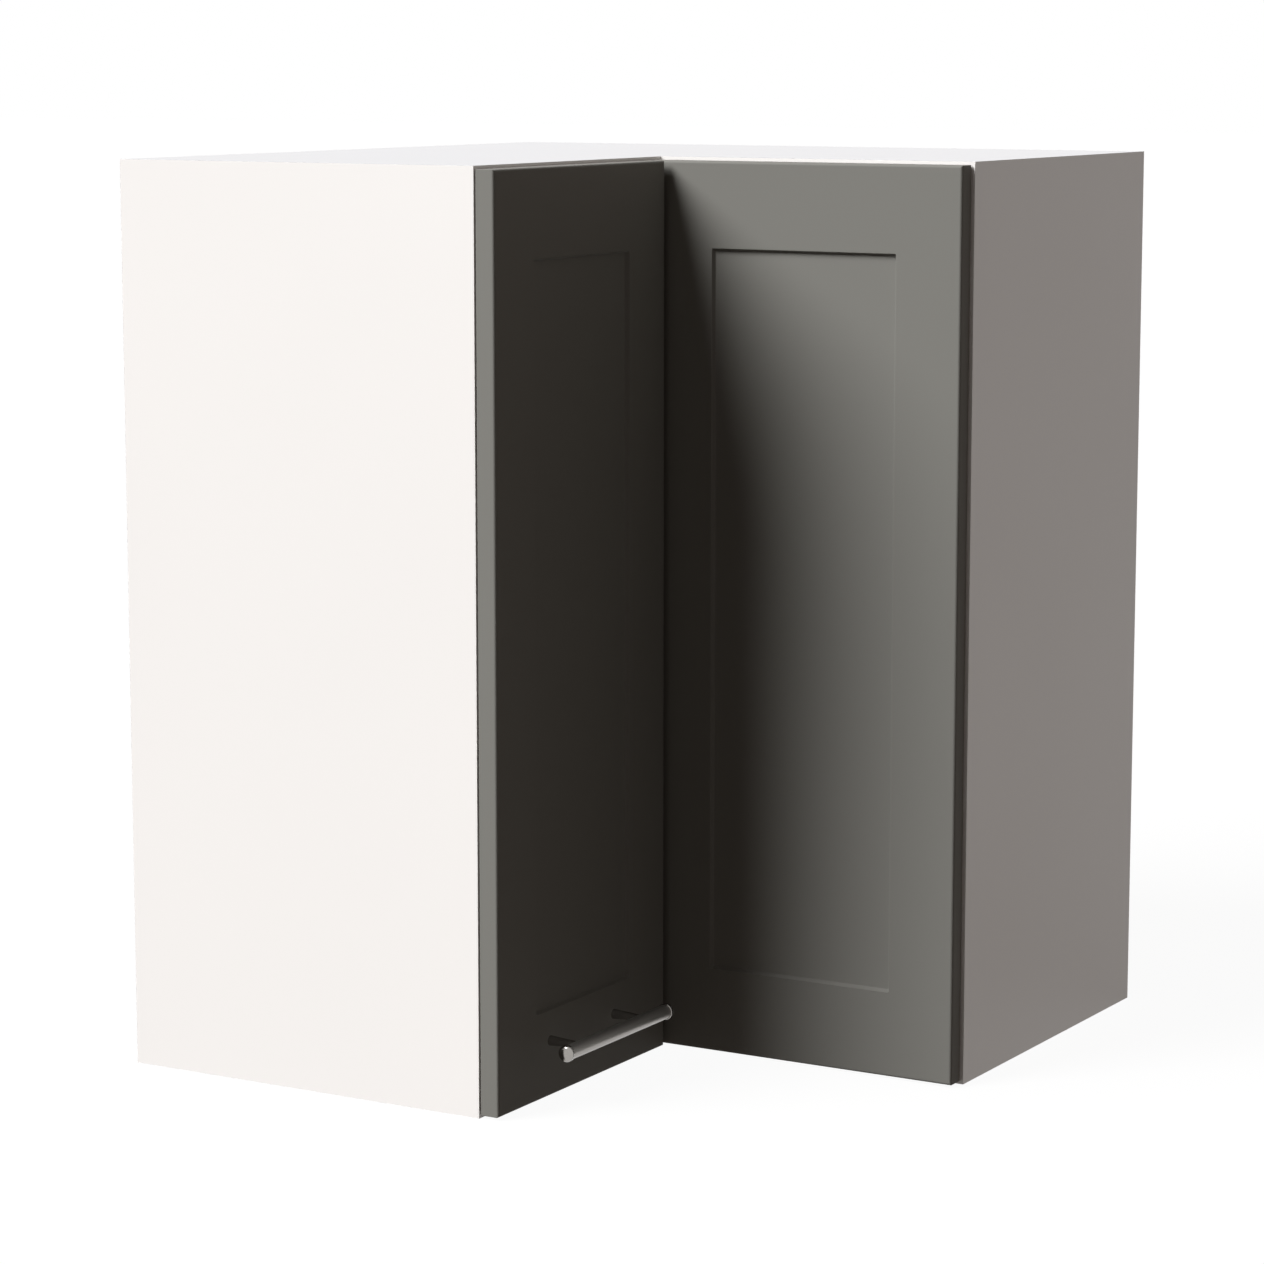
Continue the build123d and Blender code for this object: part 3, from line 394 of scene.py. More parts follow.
def cup_bores(sizes):
    """Closed cylinders where the hinge cups sink into the back of the right door."""
    low, high = node_box("right_door")
    profile = [(sizes.bore_radius, 0.0), (sizes.bore_radius, 2 * sizes.bore_depth)]
    rings = turned_rings(profile, BORE_STEPS) @ axes_along((0, 1, 0))
    grids = []
    for kind in ("hinge_cup", "fold_hinge_cup"):
        for level in LEVELS:
            x, _, z = sum(node_box(f"{level}_{kind}")) / 2
            grids.append(np.array([x, high[1] - sizes.bore_depth, z]) + rings)
    return skin("cup_bores", grids)


def make_right_door(sizes, material):
    """The right door: its back lies at the node's highest y, and its front faces -Y."""
    low, high = node_box("right_door")
    width, thickness, height = high - low
    rings = door_rings(width, height, thickness, sizes)
    axes = np.array([[1.0, 0, 0], [0, 0, 1.0], [0, -1.0, 0]])
    door = skin("right_door_panel", [np.array([low[0], high[1], low[2]]) + rings @ axes])
    cut(door, cup_bores(sizes))
    finish_piece(door, "right_door", "right_door", material)


def make_left_door(sizes, material):
    """The left door: its back lies at the node's lowest x, and its front faces +X."""
    low, high = node_box("left_door")
    thickness, width, height = high - low
    rings = door_rings(width, height, thickness, sizes)
    axes = np.array([[0, 1.0, 0], [0, 0, 1.0], [1.0, 0, 0]])
    door = skin("left_door_panel", [low + rings @ axes])
    finish_piece(door, "left_door", "left_door", material)


# -------------------------------- handle
SHOULDER_SWEEP = 88  # degrees that a collar's shoulder turns before its domed end face begins
SHOULDER_STEPS = 12
END_FACE = np.linspace(1, 0.02, 8)  # places on the end face, as shares of its radius
END_FACE_EDGE = 0.98  # where the outermost of them lies, so that it keeps clear of the shoulder
CONE_STEPS = 16
POST_SINK = 0.6 * MM  # how far a post reaches into the bar


def bar_profile(total, radius, sizes):
    """The bar between its collars: a thin neck at each end, a small round, and the plain bar."""
    groove = sizes.groove
    start = [(radius - groove, 0.0), (radius - groove, groove - SUPPORT / 2)]
    rise = arc((radius - groove, 2 * groove), groove, -90, 0, ARC_STEPS)
    lead = np.concatenate([start, rise, [(radius, 2 * groove + SUPPORT)]])
    back = lead[::-1] * (1, -1) + (0, total)
    return np.concatenate([lead, back])


def collar_profile(total, radius, sizes):
    """A collar from its inner end to its slightly domed outer end, whose height falls with the
    square of the distance from its middle."""
    lip = sizes.collar_lip
    outer = sizes.collar_round
    dome = sizes.collar_dome
    inner_end = [(radius - lip - SUPPORT, 0.0)]
    inner = arc((radius - lip, lip), lip, -90, 0, ARC_STEPS)
    side = [(radius, lip + SUPPORT), (radius, total - outer - SUPPORT)]
    centre = (radius - outer, total - outer - dome)
    shoulder = arc(centre, outer, 0, SHOULDER_SWEEP, SHOULDER_STEPS)
    reach = (radius - outer) * END_FACE_EDGE
    face = np.stack([reach * END_FACE, total - dome * END_FACE**2], axis=-1)
    return np.concatenate([inner_end, inner, side, shoulder, face])


def post_profile(total, base, sizes):
    """A post from the door outwards: a cone whose radius falls evenly with its height, from the
    base to the waist, with its foot's edge rounded."""
    edge = sizes.foot_round
    foot = arc((base - edge, edge), edge, -90, 0, ARC_STEPS)
    rest = np.linspace(2 * edge + SUPPORT, total, CONE_STEPS)
    height = np.concatenate([[edge + SUPPORT], rest])
    radius = base + (sizes.waist - base) * height / total
    return np.concatenate([foot, np.stack([radius, height], axis=-1)])


def make_handle(sizes, satin, polished):
    """A satin bar with polished collars and posts. The bar's axis runs along y through the middle
    of its node's box."""
    low, high = node_box("handle_bar")
    axis_point = (low + high) / 2
    radius = (high[0] - low[0]) / 2
    along = axes_along((0, 1, 0))
    start = np.array([axis_point[0], low[1], axis_point[2]])
    profile = bar_profile(high[1] - low[1], radius, sizes)
    bar = skin("handle_bar_chrome", [start + turned_rings(profile, sizes.segments) @ along])
    finish_piece(bar, "handle_bar", "left_door", satin)

    collar_low, collar_high = node_box("handle_collars")
    collar_radius = (collar_high[2] - collar_low[2]) / 2
    profile = collar_profile(sizes.collar_length, collar_radius, sizes)
    rings = turned_rings(profile, sizes.segments)
    near = np.array([axis_point[0], collar_low[1] + sizes.collar_length, axis_point[2]])
    far = np.array([axis_point[0], collar_high[1] - sizes.collar_length, axis_point[2]])
    grids = [near + rings @ axes_along((0, -1, 0)), far + rings @ axes_along((0, 1, 0))]
    collars = skin("handle_end_collars", grids)
    finish_piece(collars, "handle_collars", "left_door", polished)

    grids = []
    for points in node_solids("handle_posts"):
        post_low, post_high = points.min(axis=0), points.max(axis=0)
        base = (post_high[1] - post_low[1]) / 2
        foot = np.array([post_low[0], (post_low[1] + post_high[1]) / 2, axis_point[2]])
        reach = axis_point[0] - radius + POST_SINK - post_low[0]
        rings = turned_rings(post_profile(reach, base, sizes), sizes.segments // 2)
        grids.append(foot + rings @ axes_along((1, 0, 0)))
    posts = skin("handle_turned_posts", grids)
    finish_piece(posts, "handle_posts", "left_door", polished)


# -------------------------------- screws and bumpers
WIDEST = 0.97  # a point of the widest ring lies beyond this share of the greatest radius
TIP_RING = 0.1 * MM  # a point of the tip's ring lies within this of the end
WIDER = 1.1  # a point of the head lies beyond this share of the shaft's radius
TIP_ROUND = 0.25  # radius of a screw's end, as a share of the shaft's
TIP_TAPER = 0.6  # length of its taper, as a share of the shaft's radius,
TIP_LIMIT = 0.3  # and at most this share of the shaft's length
HEAD_UNDER = 0.96  # radius of a head's underside, as a share of the head's
UNDER_BEVEL = 0.1  # height of the bevel above it, as a share of the rim's
HEAD_RINGS = np.linspace(1, 0.03, 24)[1:, None]  # rings of a head's top, as shares of its radius
ARM_SOFT = 0.07  # width over which the recess's walls fall, as a share of the head's radius
ARM_MIDDLE = 1.25  # an arm's width in the middle, as a share of its mean width,
ARM_TAPER = 0.6  # and how much of it is lost towards the end
LENS_RISE = np.linspace(0, 0.995, 14)  # heights of a bumper's rings, as shares of its own
LENS_STEPS = 48


def measure_screw(points):
    """A screw's end point, the direction out of its head, and its length, head height, head
    radius and shaft radius. It lies along its longest side, with its widest ring in the head."""
    low, high = points.min(axis=0), points.max(axis=0)
    centre = (low + high) / 2
    axis = int(np.argmax(high - low))
    others = [side for side in range(3) if side != axis]
    reach = np.linalg.norm(points[:, others] - centre[others], axis=1)
    outward = np.sign(points[reach > WIDEST * reach.max(), axis].mean() - centre[axis])
    tip_value = low[axis] if outward > 0 else high[axis]
    from_tip = np.abs(points[:, axis] - tip_value)
    shaft = reach[from_tip < TIP_RING].max()
    head_height = from_tip.max() - from_tip[reach > WIDER * shaft].min()
    direction = np.zeros(3)
    direction[axis] = outward
    tip = centre.copy()
    tip[axis] = tip_value
    return tip, direction, high[axis] - low[axis], head_height, reach.max(), shaft


def screw_grid(total, head, radius, shaft, sizes):
    """A screw along local z. Its head's top is a height field on a polar grid: a dome that falls
    with the square of the radius, less a cross recess, whose depth is the larger of two soft
    bars."""
    neck = total - head
    crown = head * sizes.crown
    rim = neck + head - crown
    tip = min(shaft * TIP_TAPER, neck * TIP_LIMIT)
    body = [
        (shaft * TIP_ROUND, 0.0), (shaft, tip), (shaft, neck - SUPPORT), (shaft, neck),
        (radius * HEAD_UNDER, neck), (radius, neck + UNDER_BEVEL * (rim - neck)), (radius, rim),
    ]
    lower = turned_rings(body, sizes.segments)
    turn = np.arange(sizes.segments) * 2 * math.pi / sizes.segments
    dome = rim + crown * (1 - HEAD_RINGS**2)
    u, v = HEAD_RINGS * np.cos(turn), HEAD_RINGS * np.sin(turn)

    def bar(along, aside):
        """One arm pair of the recess, from 0 outside to 1 inside, narrower towards its ends."""
        narrowing = ARM_TAPER * np.abs(along) / sizes.recess_reach
        half = sizes.recess_width * (ARM_MIDDLE - narrowing)
        side = np.clip((half - np.abs(aside)) / ARM_SOFT + 0.5, 0, 1)
        end = np.clip((sizes.recess_reach - np.abs(along)) / ARM_SOFT + 0.5, 0, 1)
        return side * end

    floor = np.maximum(bar(u, v), bar(v, u)) * head * sizes.recess_depth
    upper = np.stack([u * radius, v * radius, dome - floor], axis=-1)
    return np.concatenate([lower, upper])


def make_screws(sizes, material):
    """Every screw that has a head, each node as one piece."""
    for node, body in SCREW_NODES.items():
        grids = []
        for points in node_solids(node):
            tip, direction, total, head, radius, shaft = measure_screw(points)
            screw = screw_grid(total, head, radius, shaft, sizes)
            grids.append(tip + screw @ axes_along(direction))
        finish_piece(skin(f"{node}_crosshead", grids), node, body, material)


def make_bumpers(material):
    """Clear bumpers, each a lens. At a share of its height its radius is the node's, times the
    root of one less that share."""
    grids = []
    for points in node_solids("door_bumpers"):
        low, high = points.min(axis=0), points.max(axis=0)
        radius = (high[1] - low[1]) / 2
        height = high[0] - low[0]
        profile = np.stack([radius * np.sqrt(1 - LENS_RISE), height * LENS_RISE], axis=-1)
        foot = np.array([high[0], (low[1] + high[1]) / 2, (low[2] + high[2]) / 2])
        grids.append(foot + turned_rings(profile, LENS_STEPS) @ axes_along((-1, 0, 0)))
    lenses = skin("door_bumper_lenses", grids)
    finish_piece(lenses, "door_bumpers", "left_door", material)


# -------------------------------- shader maths
class Socket:
    """An output of a shader tree. Python's operators on its numbers add Math nodes."""

    def __init__(self, graph, output):
        self.graph = graph
        self.output = output

    def maths(self, operation, *values):
        return self.graph.add("ShaderNodeMath", {"operation": operation}, dict(enumerate(values)))

    def other(self, name):
        """Another output of the same node."""
        return Socket(self.graph, self.output.node.outputs[name])

    def __add__(self, value):
        return self.maths("ADD", self, value)

    def __radd__(self, value):
        return self.maths("ADD", value, self)

    def __sub__(self, value):
        return self.maths("SUBTRACT", self, value)

    def __rsub__(self, value):
        return self.maths("SUBTRACT", value, self)

    def __mul__(self, value):
        return self.maths("MULTIPLY", self, value)

    def __rmul__(self, value):
        return self.maths("MULTIPLY", value, self)

    def __neg__(self):
        return self.maths("MULTIPLY", self, -1.0)

    def __abs__(self):
        return self.maths("ABSOLUTE", self)

    def __gt__(self, value):
        return self.maths("GREATER_THAN", self, value)

    def __lt__(self, value):
        return self.maths("LESS_THAN", self, value)

    def larger(self, value):
        return self.maths("MAXIMUM", self, value)


class Graph:
    """A shader tree, filled through one method."""

    def __init__(self, tree):
        self.tree = tree
        tree.nodes.clear()

    def add(self, kind, settings=None, inputs=None, output=0):
        """Add a node, set its settings, then its sockets' values or links. A ramp's stops are
        rows of (place, colour)."""
        node = self.tree.nodes.new(kind)
        for name, value in (settings or {}).items():
            if name == "stops":
                while len(node.color_ramp.elements) < len(value):
                    node.color_ramp.elements.new(0.5)
                for element, (place, shade) in zip(node.color_ramp.elements, value):
                    element.position = place
                    element.color = (*shade, 1.0)
            else:
                setattr(node, name, value)
        for name, value in (inputs or {}).items():
            if isinstance(value, Socket):
                self.tree.links.new(value.output, node.inputs[name])
            else:
                node.inputs[name].default_value = value
        return Socket(self, node.outputs[output]) if len(node.outputs) else None

    def place(self):
        """The point's place in the cabinet's frame."""
        return self.add("ShaderNodeTexCoord", output="Object")

    def split(self, vector):
        """The three numbers of a vector."""
        first = self.add("ShaderNodeSeparateXYZ", inputs={0: vector})
        return first, first.other("Y"), first.other("Z")

    def stretched(self, vector, scale):
        """The vector with each number times its scale."""
        return self.add("ShaderNodeVectorMath", {"operation": "MULTIPLY"}, {0: vector, 1: scale})

    def noise(self, vector, scale, detail):
        """Soft noise from 0 to 1."""
        inputs = {"Vector": vector, "Scale": scale, "Detail": detail}
        return self.add("ShaderNodeTexNoise", inputs=inputs)

    def blend(self, share, first, second):
        """Two colours mixed by a share."""
        settings = {"data_type": "RGBA"}
        return self.add("ShaderNodeMix", settings, {0: share, 6: first, 7: second}, output=2)

    def bump(self, height, distance, strength):
        """A normal that follows a height, in shares of a distance in metres."""
        inputs = {"Height": height, "Distance": distance, "Strength": strength}
        return self.add("ShaderNodeBump", inputs=inputs)

    def surface(self, **sockets):
        """The material's principled shader and output. Names use _ for a space."""
        named = {name.replace("_", " "): value for name, value in sockets.items()}
        shader = self.add("ShaderNodeBsdfPrincipled", inputs=named)
        self.add("ShaderNodeOutputMaterial", inputs={"Surface": shader})


def opaque(shade):
    """A colour with full alpha."""
    return (*shade, 1.0)


def scaled(shade, share):
    """A colour times a number, with full alpha."""
    return opaque([channel * share for channel in shade])


def material(name, paint, *values):
    """A new material, painted by one of the functions below."""
    made = bpy.data.materials.new(name)
    made.use_nodes = True
    paint(Graph(made.node_tree), *values)
    made.diffuse_color = opaque(values[0])
    return made


# -------------------------------- finishes
EDGE_BAND = 1.0 * MM  # thickness of the band on a board's front edges
SEAM_HALF = 0.07 * MM  # half width of the hairline beside it
FACE_SKIN = 0.05 * MM  # a point nearer than this to a face lies on it

# Each pattern's noise: patches to the metre, and levels of finer detail
PATTERNS = {
    "orange_peel": (900.0, 2.0),
    "board_cloud": (6.0, 2.0),
    "chip_grain": (700.0, 4.0),
    "fibre": (900.0, 5.0),
    "fibre_cloud": (14.0, 4.0),
    "film_pebble": (1500.0, 3.0),
    "film_drift": (9.0, 3.0),
    "chrome_haze": (160.0, 4.0),
    "rolling": (1800.0, 3.0),
    "steel_cloud": (90.0, 3.0),
    "zinc_grain": (2200.0, 4.0),
    "zinc_flow": (260.0, 3.0),
    "screw_drift": (420.0, 3.0),
    "screw_grain": (3000.0, 2.0),
    "beech_fleck": (500.0, 4.0),
    "spark_texture": (1600.0, 3.0),
    "cap_ripple": (240.0, 2.0),
    "clear_cloud": (700.0, 2.0),
}
CHIP_CELLS = 330.0  # chips to the metre in a raw board edge

# Stretches of a pattern, longer along an axis below 1 and shorter above 1
FLAT_CHIPS = (1.0, 1.0, 2.4)
UPRIGHT_FIBRES = (1.0, 1.0, 0.25)
UPRIGHT_ROLLING = (1.0, 1.0, 0.05)
SHORT_FLECKS = (1.0, 1.0, 3.0)

# Each finish's least roughness, and how much rougher its noise makes it
ROUGHNESS = {
    "board": (0.44, 0.04),
    "film": (0.52, 0.06),
    "satin": (0.4, 0.04),
    "polished": (0.13, 0.04),
    "steel": (0.2, 0.14),
    "zinc": (0.4, 0.15),
    "screw": (0.26, 0.12),
    "beech": (0.6, 0.1),
    "moulded": (0.5, 0.1),
    "cap": (0.28, 0.08),
    "clear": (0.22, 0.1),
}

# The darkest share of its colour that a finish's noise leaves
DARKEST = {
    "board": 0.985, "film": 0.985, "steel": 0.9, "zinc": 0.78, "beech": 0.75, "moulded": 0.97,
    "clear": 0.9,
}

# Each bump's depth, and the share of it that shows
BUMPS = {
    "board": (0.05 * MM, 0.5),
    "fibre": (0.05 * MM, 0.5),
    "film": (0.03 * MM, 0.5),
    "steel": (0.01 * MM, 0.4),
    "zinc": (0.03 * MM, 0.6),
    "screw": (0.01 * MM, 0.4),
    "beech": (0.05 * MM, 0.5),
    "moulded": (0.04 * MM, 0.5),
    "cap": (0.02 * MM, 0.4),
}

# Melamine boards. Heights are shares of the bump's depth.
SEAM_SHOWS = 0.35
SEAM_SHADE = 0.55
PEEL_HEIGHT = 0.3
CHIP_HEIGHT = 4.0
RAW_ROUGHER = 0.4
DARK_CHIPS, PLAIN_CHIPS, PALE_CHIPS = 0.2, 0.45, 0.9  # places of the chips' colours on their ramp
PALEST_CHIP = 1.35

# Back boards
FIBRE_SHARE, CLOUD_SHARE, BROWN_SHIFT = 0.7, 0.5, 0.2  # what mixes the two browns
DARK_FIBRE, PALE_FIBRE = 0.72, 1.25
FACE_ROUGHNESS = 0.5
WALL_ROUGHER = 0.3
FACE_FIBRE_HEIGHT, RAW_FIBRE_HEIGHT = 0.3, 2.0

ROLLING_ROUGHER = 0.06
PASSIVATION = (1.02, 0.98, 0.86)  # tint of the yellowest patches on a screw


def roughness(kind, drift):
    """A finish's least roughness, plus its spread times a noise from 0 to 1."""
    least, spread = ROUGHNESS[kind]
    return least + drift * spread


def drifting(graph, kind, shade, drift):
    """The colour and the roughness of a finish that follows a noise from 0 to 1."""
    mixed = graph.blend(drift, scaled(shade, DARKEST[kind]), opaque(shade))
    return {"Base_Color": mixed, "Roughness": roughness(kind, drift)}


def paint_board(graph, shade, finishes, setback, raw_from):
    """White melamine with a fine orange peel, a hairline where the edge band meets the face, a
    darker, cooler top that is painted shade, and raw chips on the sawn edges towards the walls.
    Setback is from the carcass's front edges, and raw_from is how far from the middle the sawn
    edges lie."""
    place = graph.place()
    x, y, z = graph.split(place)
    inwards = (FRONT_X - setback - x).larger(y - (FRONT_Y + setback))
    seam = abs(inwards - EDGE_BAND) < SEAM_HALF
    raw = (-x).larger(y) > raw_from - FACE_SKIN
    peel = graph.noise(place, *PATTERNS["orange_peel"])
    cloud = graph.noise(place, *PATTERNS["board_cloud"])
    look = drifting(graph, "board", shade, cloud)
    # Painted shade: faces on the carcass's top take the darker, cooler top colour instead of the
    # boards' white
    film = graph.blend(z > TOP - FACE_SKIN, look["Base_Color"], opaque(finishes.top))
    film = graph.blend(seam * SEAM_SHOWS, film, scaled(shade, SEAM_SHADE))
    flakes = graph.stretched(place, FLAT_CHIPS)
    cells = {"Vector": flakes, "Scale": CHIP_CELLS}
    chips = graph.add("ShaderNodeTexVoronoi", inputs=cells, output="Color")
    shades = [
        (DARK_CHIPS, finishes.chip_dark),
        (PLAIN_CHIPS, finishes.chip),
        (PALE_CHIPS, [channel * PALEST_CHIP for channel in finishes.chip]),
    ]
    wood = graph.add("ShaderNodeValToRGB", {"stops": shades}, {0: chips})
    grain = graph.noise(flakes, *PATTERNS["chip_grain"])
    height = peel * PEEL_HEIGHT - seam + raw * grain * CHIP_HEIGHT
    graph.surface(
        Base_Color=graph.blend(raw, film, wood),
        Roughness=look["Roughness"] + raw * RAW_ROUGHER,
        Specular_IOR_Level=1.0,
        IOR=1.6,
        Normal=graph.bump(height, *BUMPS["board"]),
    )


def paint_back_board(graph, shade, finishes):
    """A thin fibreboard: white on the cabinet's inside, brown and fibrous towards the wall."""
    place = graph.place()
    x, y, _ = graph.split(place)
    raw = (-x).larger(y) > BACK_OUTER - FACE_SKIN
    fibres = graph.noise(graph.stretched(place, UPRIGHT_FIBRES), *PATTERNS["fibre"])
    cloud = graph.noise(place, *PATTERNS["fibre_cloud"])
    brown = graph.blend(
        fibres * FIBRE_SHARE + cloud * CLOUD_SHARE - BROWN_SHIFT,
        scaled(finishes.fibre, DARK_FIBRE),
        scaled(finishes.fibre, PALE_FIBRE),
    )
    height = fibres * (FACE_FIBRE_HEIGHT + raw * RAW_FIBRE_HEIGHT)
    graph.surface(
        Base_Color=graph.blend(raw, opaque(shade), brown),
        Roughness=FACE_ROUGHNESS + raw * WALL_ROUGHER,
        Specular_IOR_Level=0.3,
        Normal=graph.bump(height, *BUMPS["fibre"]),
    )


def paint_film(graph, shade):
    """Matt film over fibreboard: a very fine pebble, and a sheen that drifts a little."""
    place = graph.place()
    pebble = graph.noise(place, *PATTERNS["film_pebble"])
    drift = graph.noise(place, *PATTERNS["film_drift"])
    graph.surface(
        **drifting(graph, "film", shade, drift),
        Specular_IOR_Level=0.06,
        Normal=graph.bump(pebble, *BUMPS["film"]),
    )


def paint_chrome(graph, shade, kind):
    """Satin or polished chrome plate with faint haze, below a thin polished skin."""
    haze = graph.noise(graph.place(), *PATTERNS["chrome_haze"])
    graph.surface(
        Base_Color=opaque(shade),
        Metallic=1.0,
        Roughness=roughness(kind, haze),
        Coat_Weight=0.25,
        Coat_Roughness=0.04,
    )


def paint_plated_steel(graph, shade):
    """Nickel-plated pressed steel: long fine rolling marks and faint clouds."""
    place = graph.place()
    rolling = graph.noise(graph.stretched(place, UPRIGHT_ROLLING), *PATTERNS["rolling"])
    cloud = graph.noise(place, *PATTERNS["steel_cloud"])
    look = drifting(graph, "steel", shade, cloud)
    graph.surface(
        Base_Color=look["Base_Color"],
        Metallic=1.0,
        Roughness=look["Roughness"] + rolling * ROLLING_ROUGHER,
        Normal=graph.bump(rolling, *BUMPS["steel"]),
    )


def paint_cast_zinc(graph, shade):
    """Die-cast zinc: dull, with a grainy skin and darker flow marks."""
    place = graph.place()
    grain = graph.noise(place, *PATTERNS["zinc_grain"])
    flow = graph.noise(place, *PATTERNS["zinc_flow"])
    graph.surface(
        **drifting(graph, "zinc", shade, flow),
        Metallic=1.0,
        Normal=graph.bump(grain, *BUMPS["zinc"]),
    )


def paint_screw(graph, shade):
    """Zinc-plated steel with a faint yellow passivation that drifts over the head."""
    place = graph.place()
    drift = graph.noise(place, *PATTERNS["screw_drift"])
    grain = graph.noise(place, *PATTERNS["screw_grain"])
    warm = [channel * tint for channel, tint in zip(shade, PASSIVATION)]
    graph.surface(
        Base_Color=graph.blend(drift, opaque(shade), opaque(warm)),
        Metallic=1.0,
        Roughness=roughness("screw", drift),
        Normal=graph.bump(grain, *BUMPS["screw"]),
    )


def paint_beech(graph, shade):
    """Beech with short dark flecks."""
    flecks = graph.noise(graph.stretched(graph.place(), SHORT_FLECKS), *PATTERNS["beech_fleck"])
    graph.surface(
        **drifting(graph, "beech", shade, flecks),
        Normal=graph.bump(flecks, *BUMPS["beech"]),
    )


def paint_moulded(graph, shade):
    """Moulded plastic with a spark-eroded matt texture."""
    texture = graph.noise(graph.place(), *PATTERNS["spark_texture"])
    graph.surface(
        **drifting(graph, "moulded", shade, texture),
        Normal=graph.bump(texture, *BUMPS["moulded"]),
    )


def paint_cap(graph, shade):
    """Smooth moulded plastic, a little glossy."""
    ripple = graph.noise(graph.place(), *PATTERNS["cap_ripple"])
    graph.surface(
        Base_Color=opaque(shade),
        Roughness=roughness("cap", ripple),
        Normal=graph.bump(ripple, *BUMPS["cap"]),
    )


def paint_clear(graph, shade):
    """Soft translucent plastic."""
    cloud = graph.noise(graph.place(), *PATTERNS["clear_cloud"])
    graph.surface(
        **drifting(graph, "clear", shade, cloud),
        Transmission_Weight=0.55,
        IOR=1.46,
    )


def dress(nodes, made):
    """Give each node's object a material."""
    for node in nodes:
        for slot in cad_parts[node].material_slots:
            slot.material = made


def nodes_of(slot):
    """The nodes that the record paints from one slot."""
    return [
        name
        for name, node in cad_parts.items()
        if node.material_slots and node.material_slots[0].material.name == slot
    ]


# -------------------------------- operators
class CABINET_OT_boards(bpy.types.Operator):
    """Finish the carcass boards, the shelves and the back boards"""

    bl_idname = "cabinet.boards"
    bl_label = "Finish boards"

    def execute(self, context):
        finishes = context.scene.cabinet_finishes
        shelves = [f"{level}_shelf" for level in LEVELS]
        shelf_rear = node_box(shelves[0])[1][1]
        white = material("white_melamine", paint_board, finishes.board, finishes, 0.0, WALL)
        dress(nodes_of("white_board"), white)
        inner = material(
            "shelf_melamine", paint_board, finishes.board, finishes, SHELF_SETBACK, shelf_rear
        )
        dress(shelves, inner)
        no_raw_edge = 2 * WALL
        faced = material(
            "post_melamine", paint_board, finishes.board, finishes, 0.0, no_raw_edge
        )
        dress(["corner_post"], faced)
        backs = material("white_faced_fibreboard", paint_back_board, finishes.back, finishes)
        dress(nodes_of("back_board"), backs)
        return {"FINISHED"}


class CABINET_OT_doors(bpy.types.Operator):
    """Build the two framed doors"""

    bl_idname = "cabinet.doors"
    bl_label = "Build doors"

    def execute(self, context):
        sizes = context.scene.cabinet_doors
        film = material("door_film", paint_film, context.scene.cabinet_finishes.door)
        make_right_door(sizes, film)
        make_left_door(sizes, film)
        return {"FINISHED"}


class CABINET_OT_handle(bpy.types.Operator):
    """Build the bar handle with its collars and posts"""

    bl_idname = "cabinet.handle"
    bl_label = "Build handle"

    def execute(self, context):
        shade = context.scene.cabinet_finishes.chrome
        satin = material("satin_chrome", paint_chrome, shade, "satin")
        polished = material("polished_chrome_plate", paint_chrome, shade, "polished")
        make_handle(context.scene.cabinet_handle, satin, polished)
        return {"FINISHED"}


class CABINET_OT_screws(bpy.types.Operator):
    """Build the screws with their cross recesses"""

    bl_idname = "cabinet.screws"
    bl_label = "Build screws"

    def execute(self, context):
        steel = material("screw_plating", paint_screw, context.scene.cabinet_finishes.screw)
        dress(nodes_of("screw_steel"), steel)
        make_screws(context.scene.cabinet_screws, steel)
        return {"FINISHED"}


class CABINET_OT_bumpers(bpy.types.Operator):
    """Build the clear door bumpers"""

    bl_idname = "cabinet.bumpers"
    bl_label = "Build bumpers"

    def execute(self, context):
        make_bumpers(material("bumper_clear", paint_clear, context.scene.cabinet_finishes.clear))
        return {"FINISHED"}


class CABINET_OT_fittings(bpy.types.Operator):
    """Finish the hinges, hangers, cams, caps and dowels"""

    bl_idname = "cabinet.fittings"
    bl_label = "Finish fittings"

    def execute(self, context):
        finishes = context.scene.cabinet_finishes
        paints = {
            "hinge_steel": ("nickel_plate", paint_plated_steel, finishes.nickel),
            "zinc_casting": ("cast_zinc", paint_cast_zinc, finishes.zinc),
            "dowel_wood": ("beech_dowel", paint_beech, finishes.beech),
            "hanger_plastic": ("moulded_housing", paint_moulded, finishes.moulded),
            "cap_plastic": ("smooth_cap", paint_cap, finishes.cap),
        }
        for slot, (name, paint, shade) in paints.items():
            dress(nodes_of(slot), material(name, paint, shade))
        return {"FINISHED"}


class CABINET_OT_stage(bpy.types.Operator):
    """Set the floor, the surroundings, the lamps and the camera"""

    bl_idname = "cabinet.stage"
    bl_label = "Set stage"

    def execute(self, context):
        studio = context.scene.cabinet_studio
        make_floor(studio)
        make_surroundings(context.scene, studio)
        make_lamp("key_lamp", studio.key_from, studio.key_spread, studio.key_strength)
        make_camera(context.scene, studio)
        context.scene.view_settings.view_transform = "Standard"
        return {"FINISHED"}


# -------------------------------- stage
LAMP_DISTANCE = 3.0  # where the lamp's object stands, which its light doesn't depend on


def seen_directly(graph):
    """1 on rays from the camera, a mirror or a clear body, and 0 on the rays that light things."""
    path = graph.add("ShaderNodeLightPath", output="Is Camera Ray")
    return path.larger(path.other("Is Glossy Ray")).larger(path.other("Is Transmission Ray"))


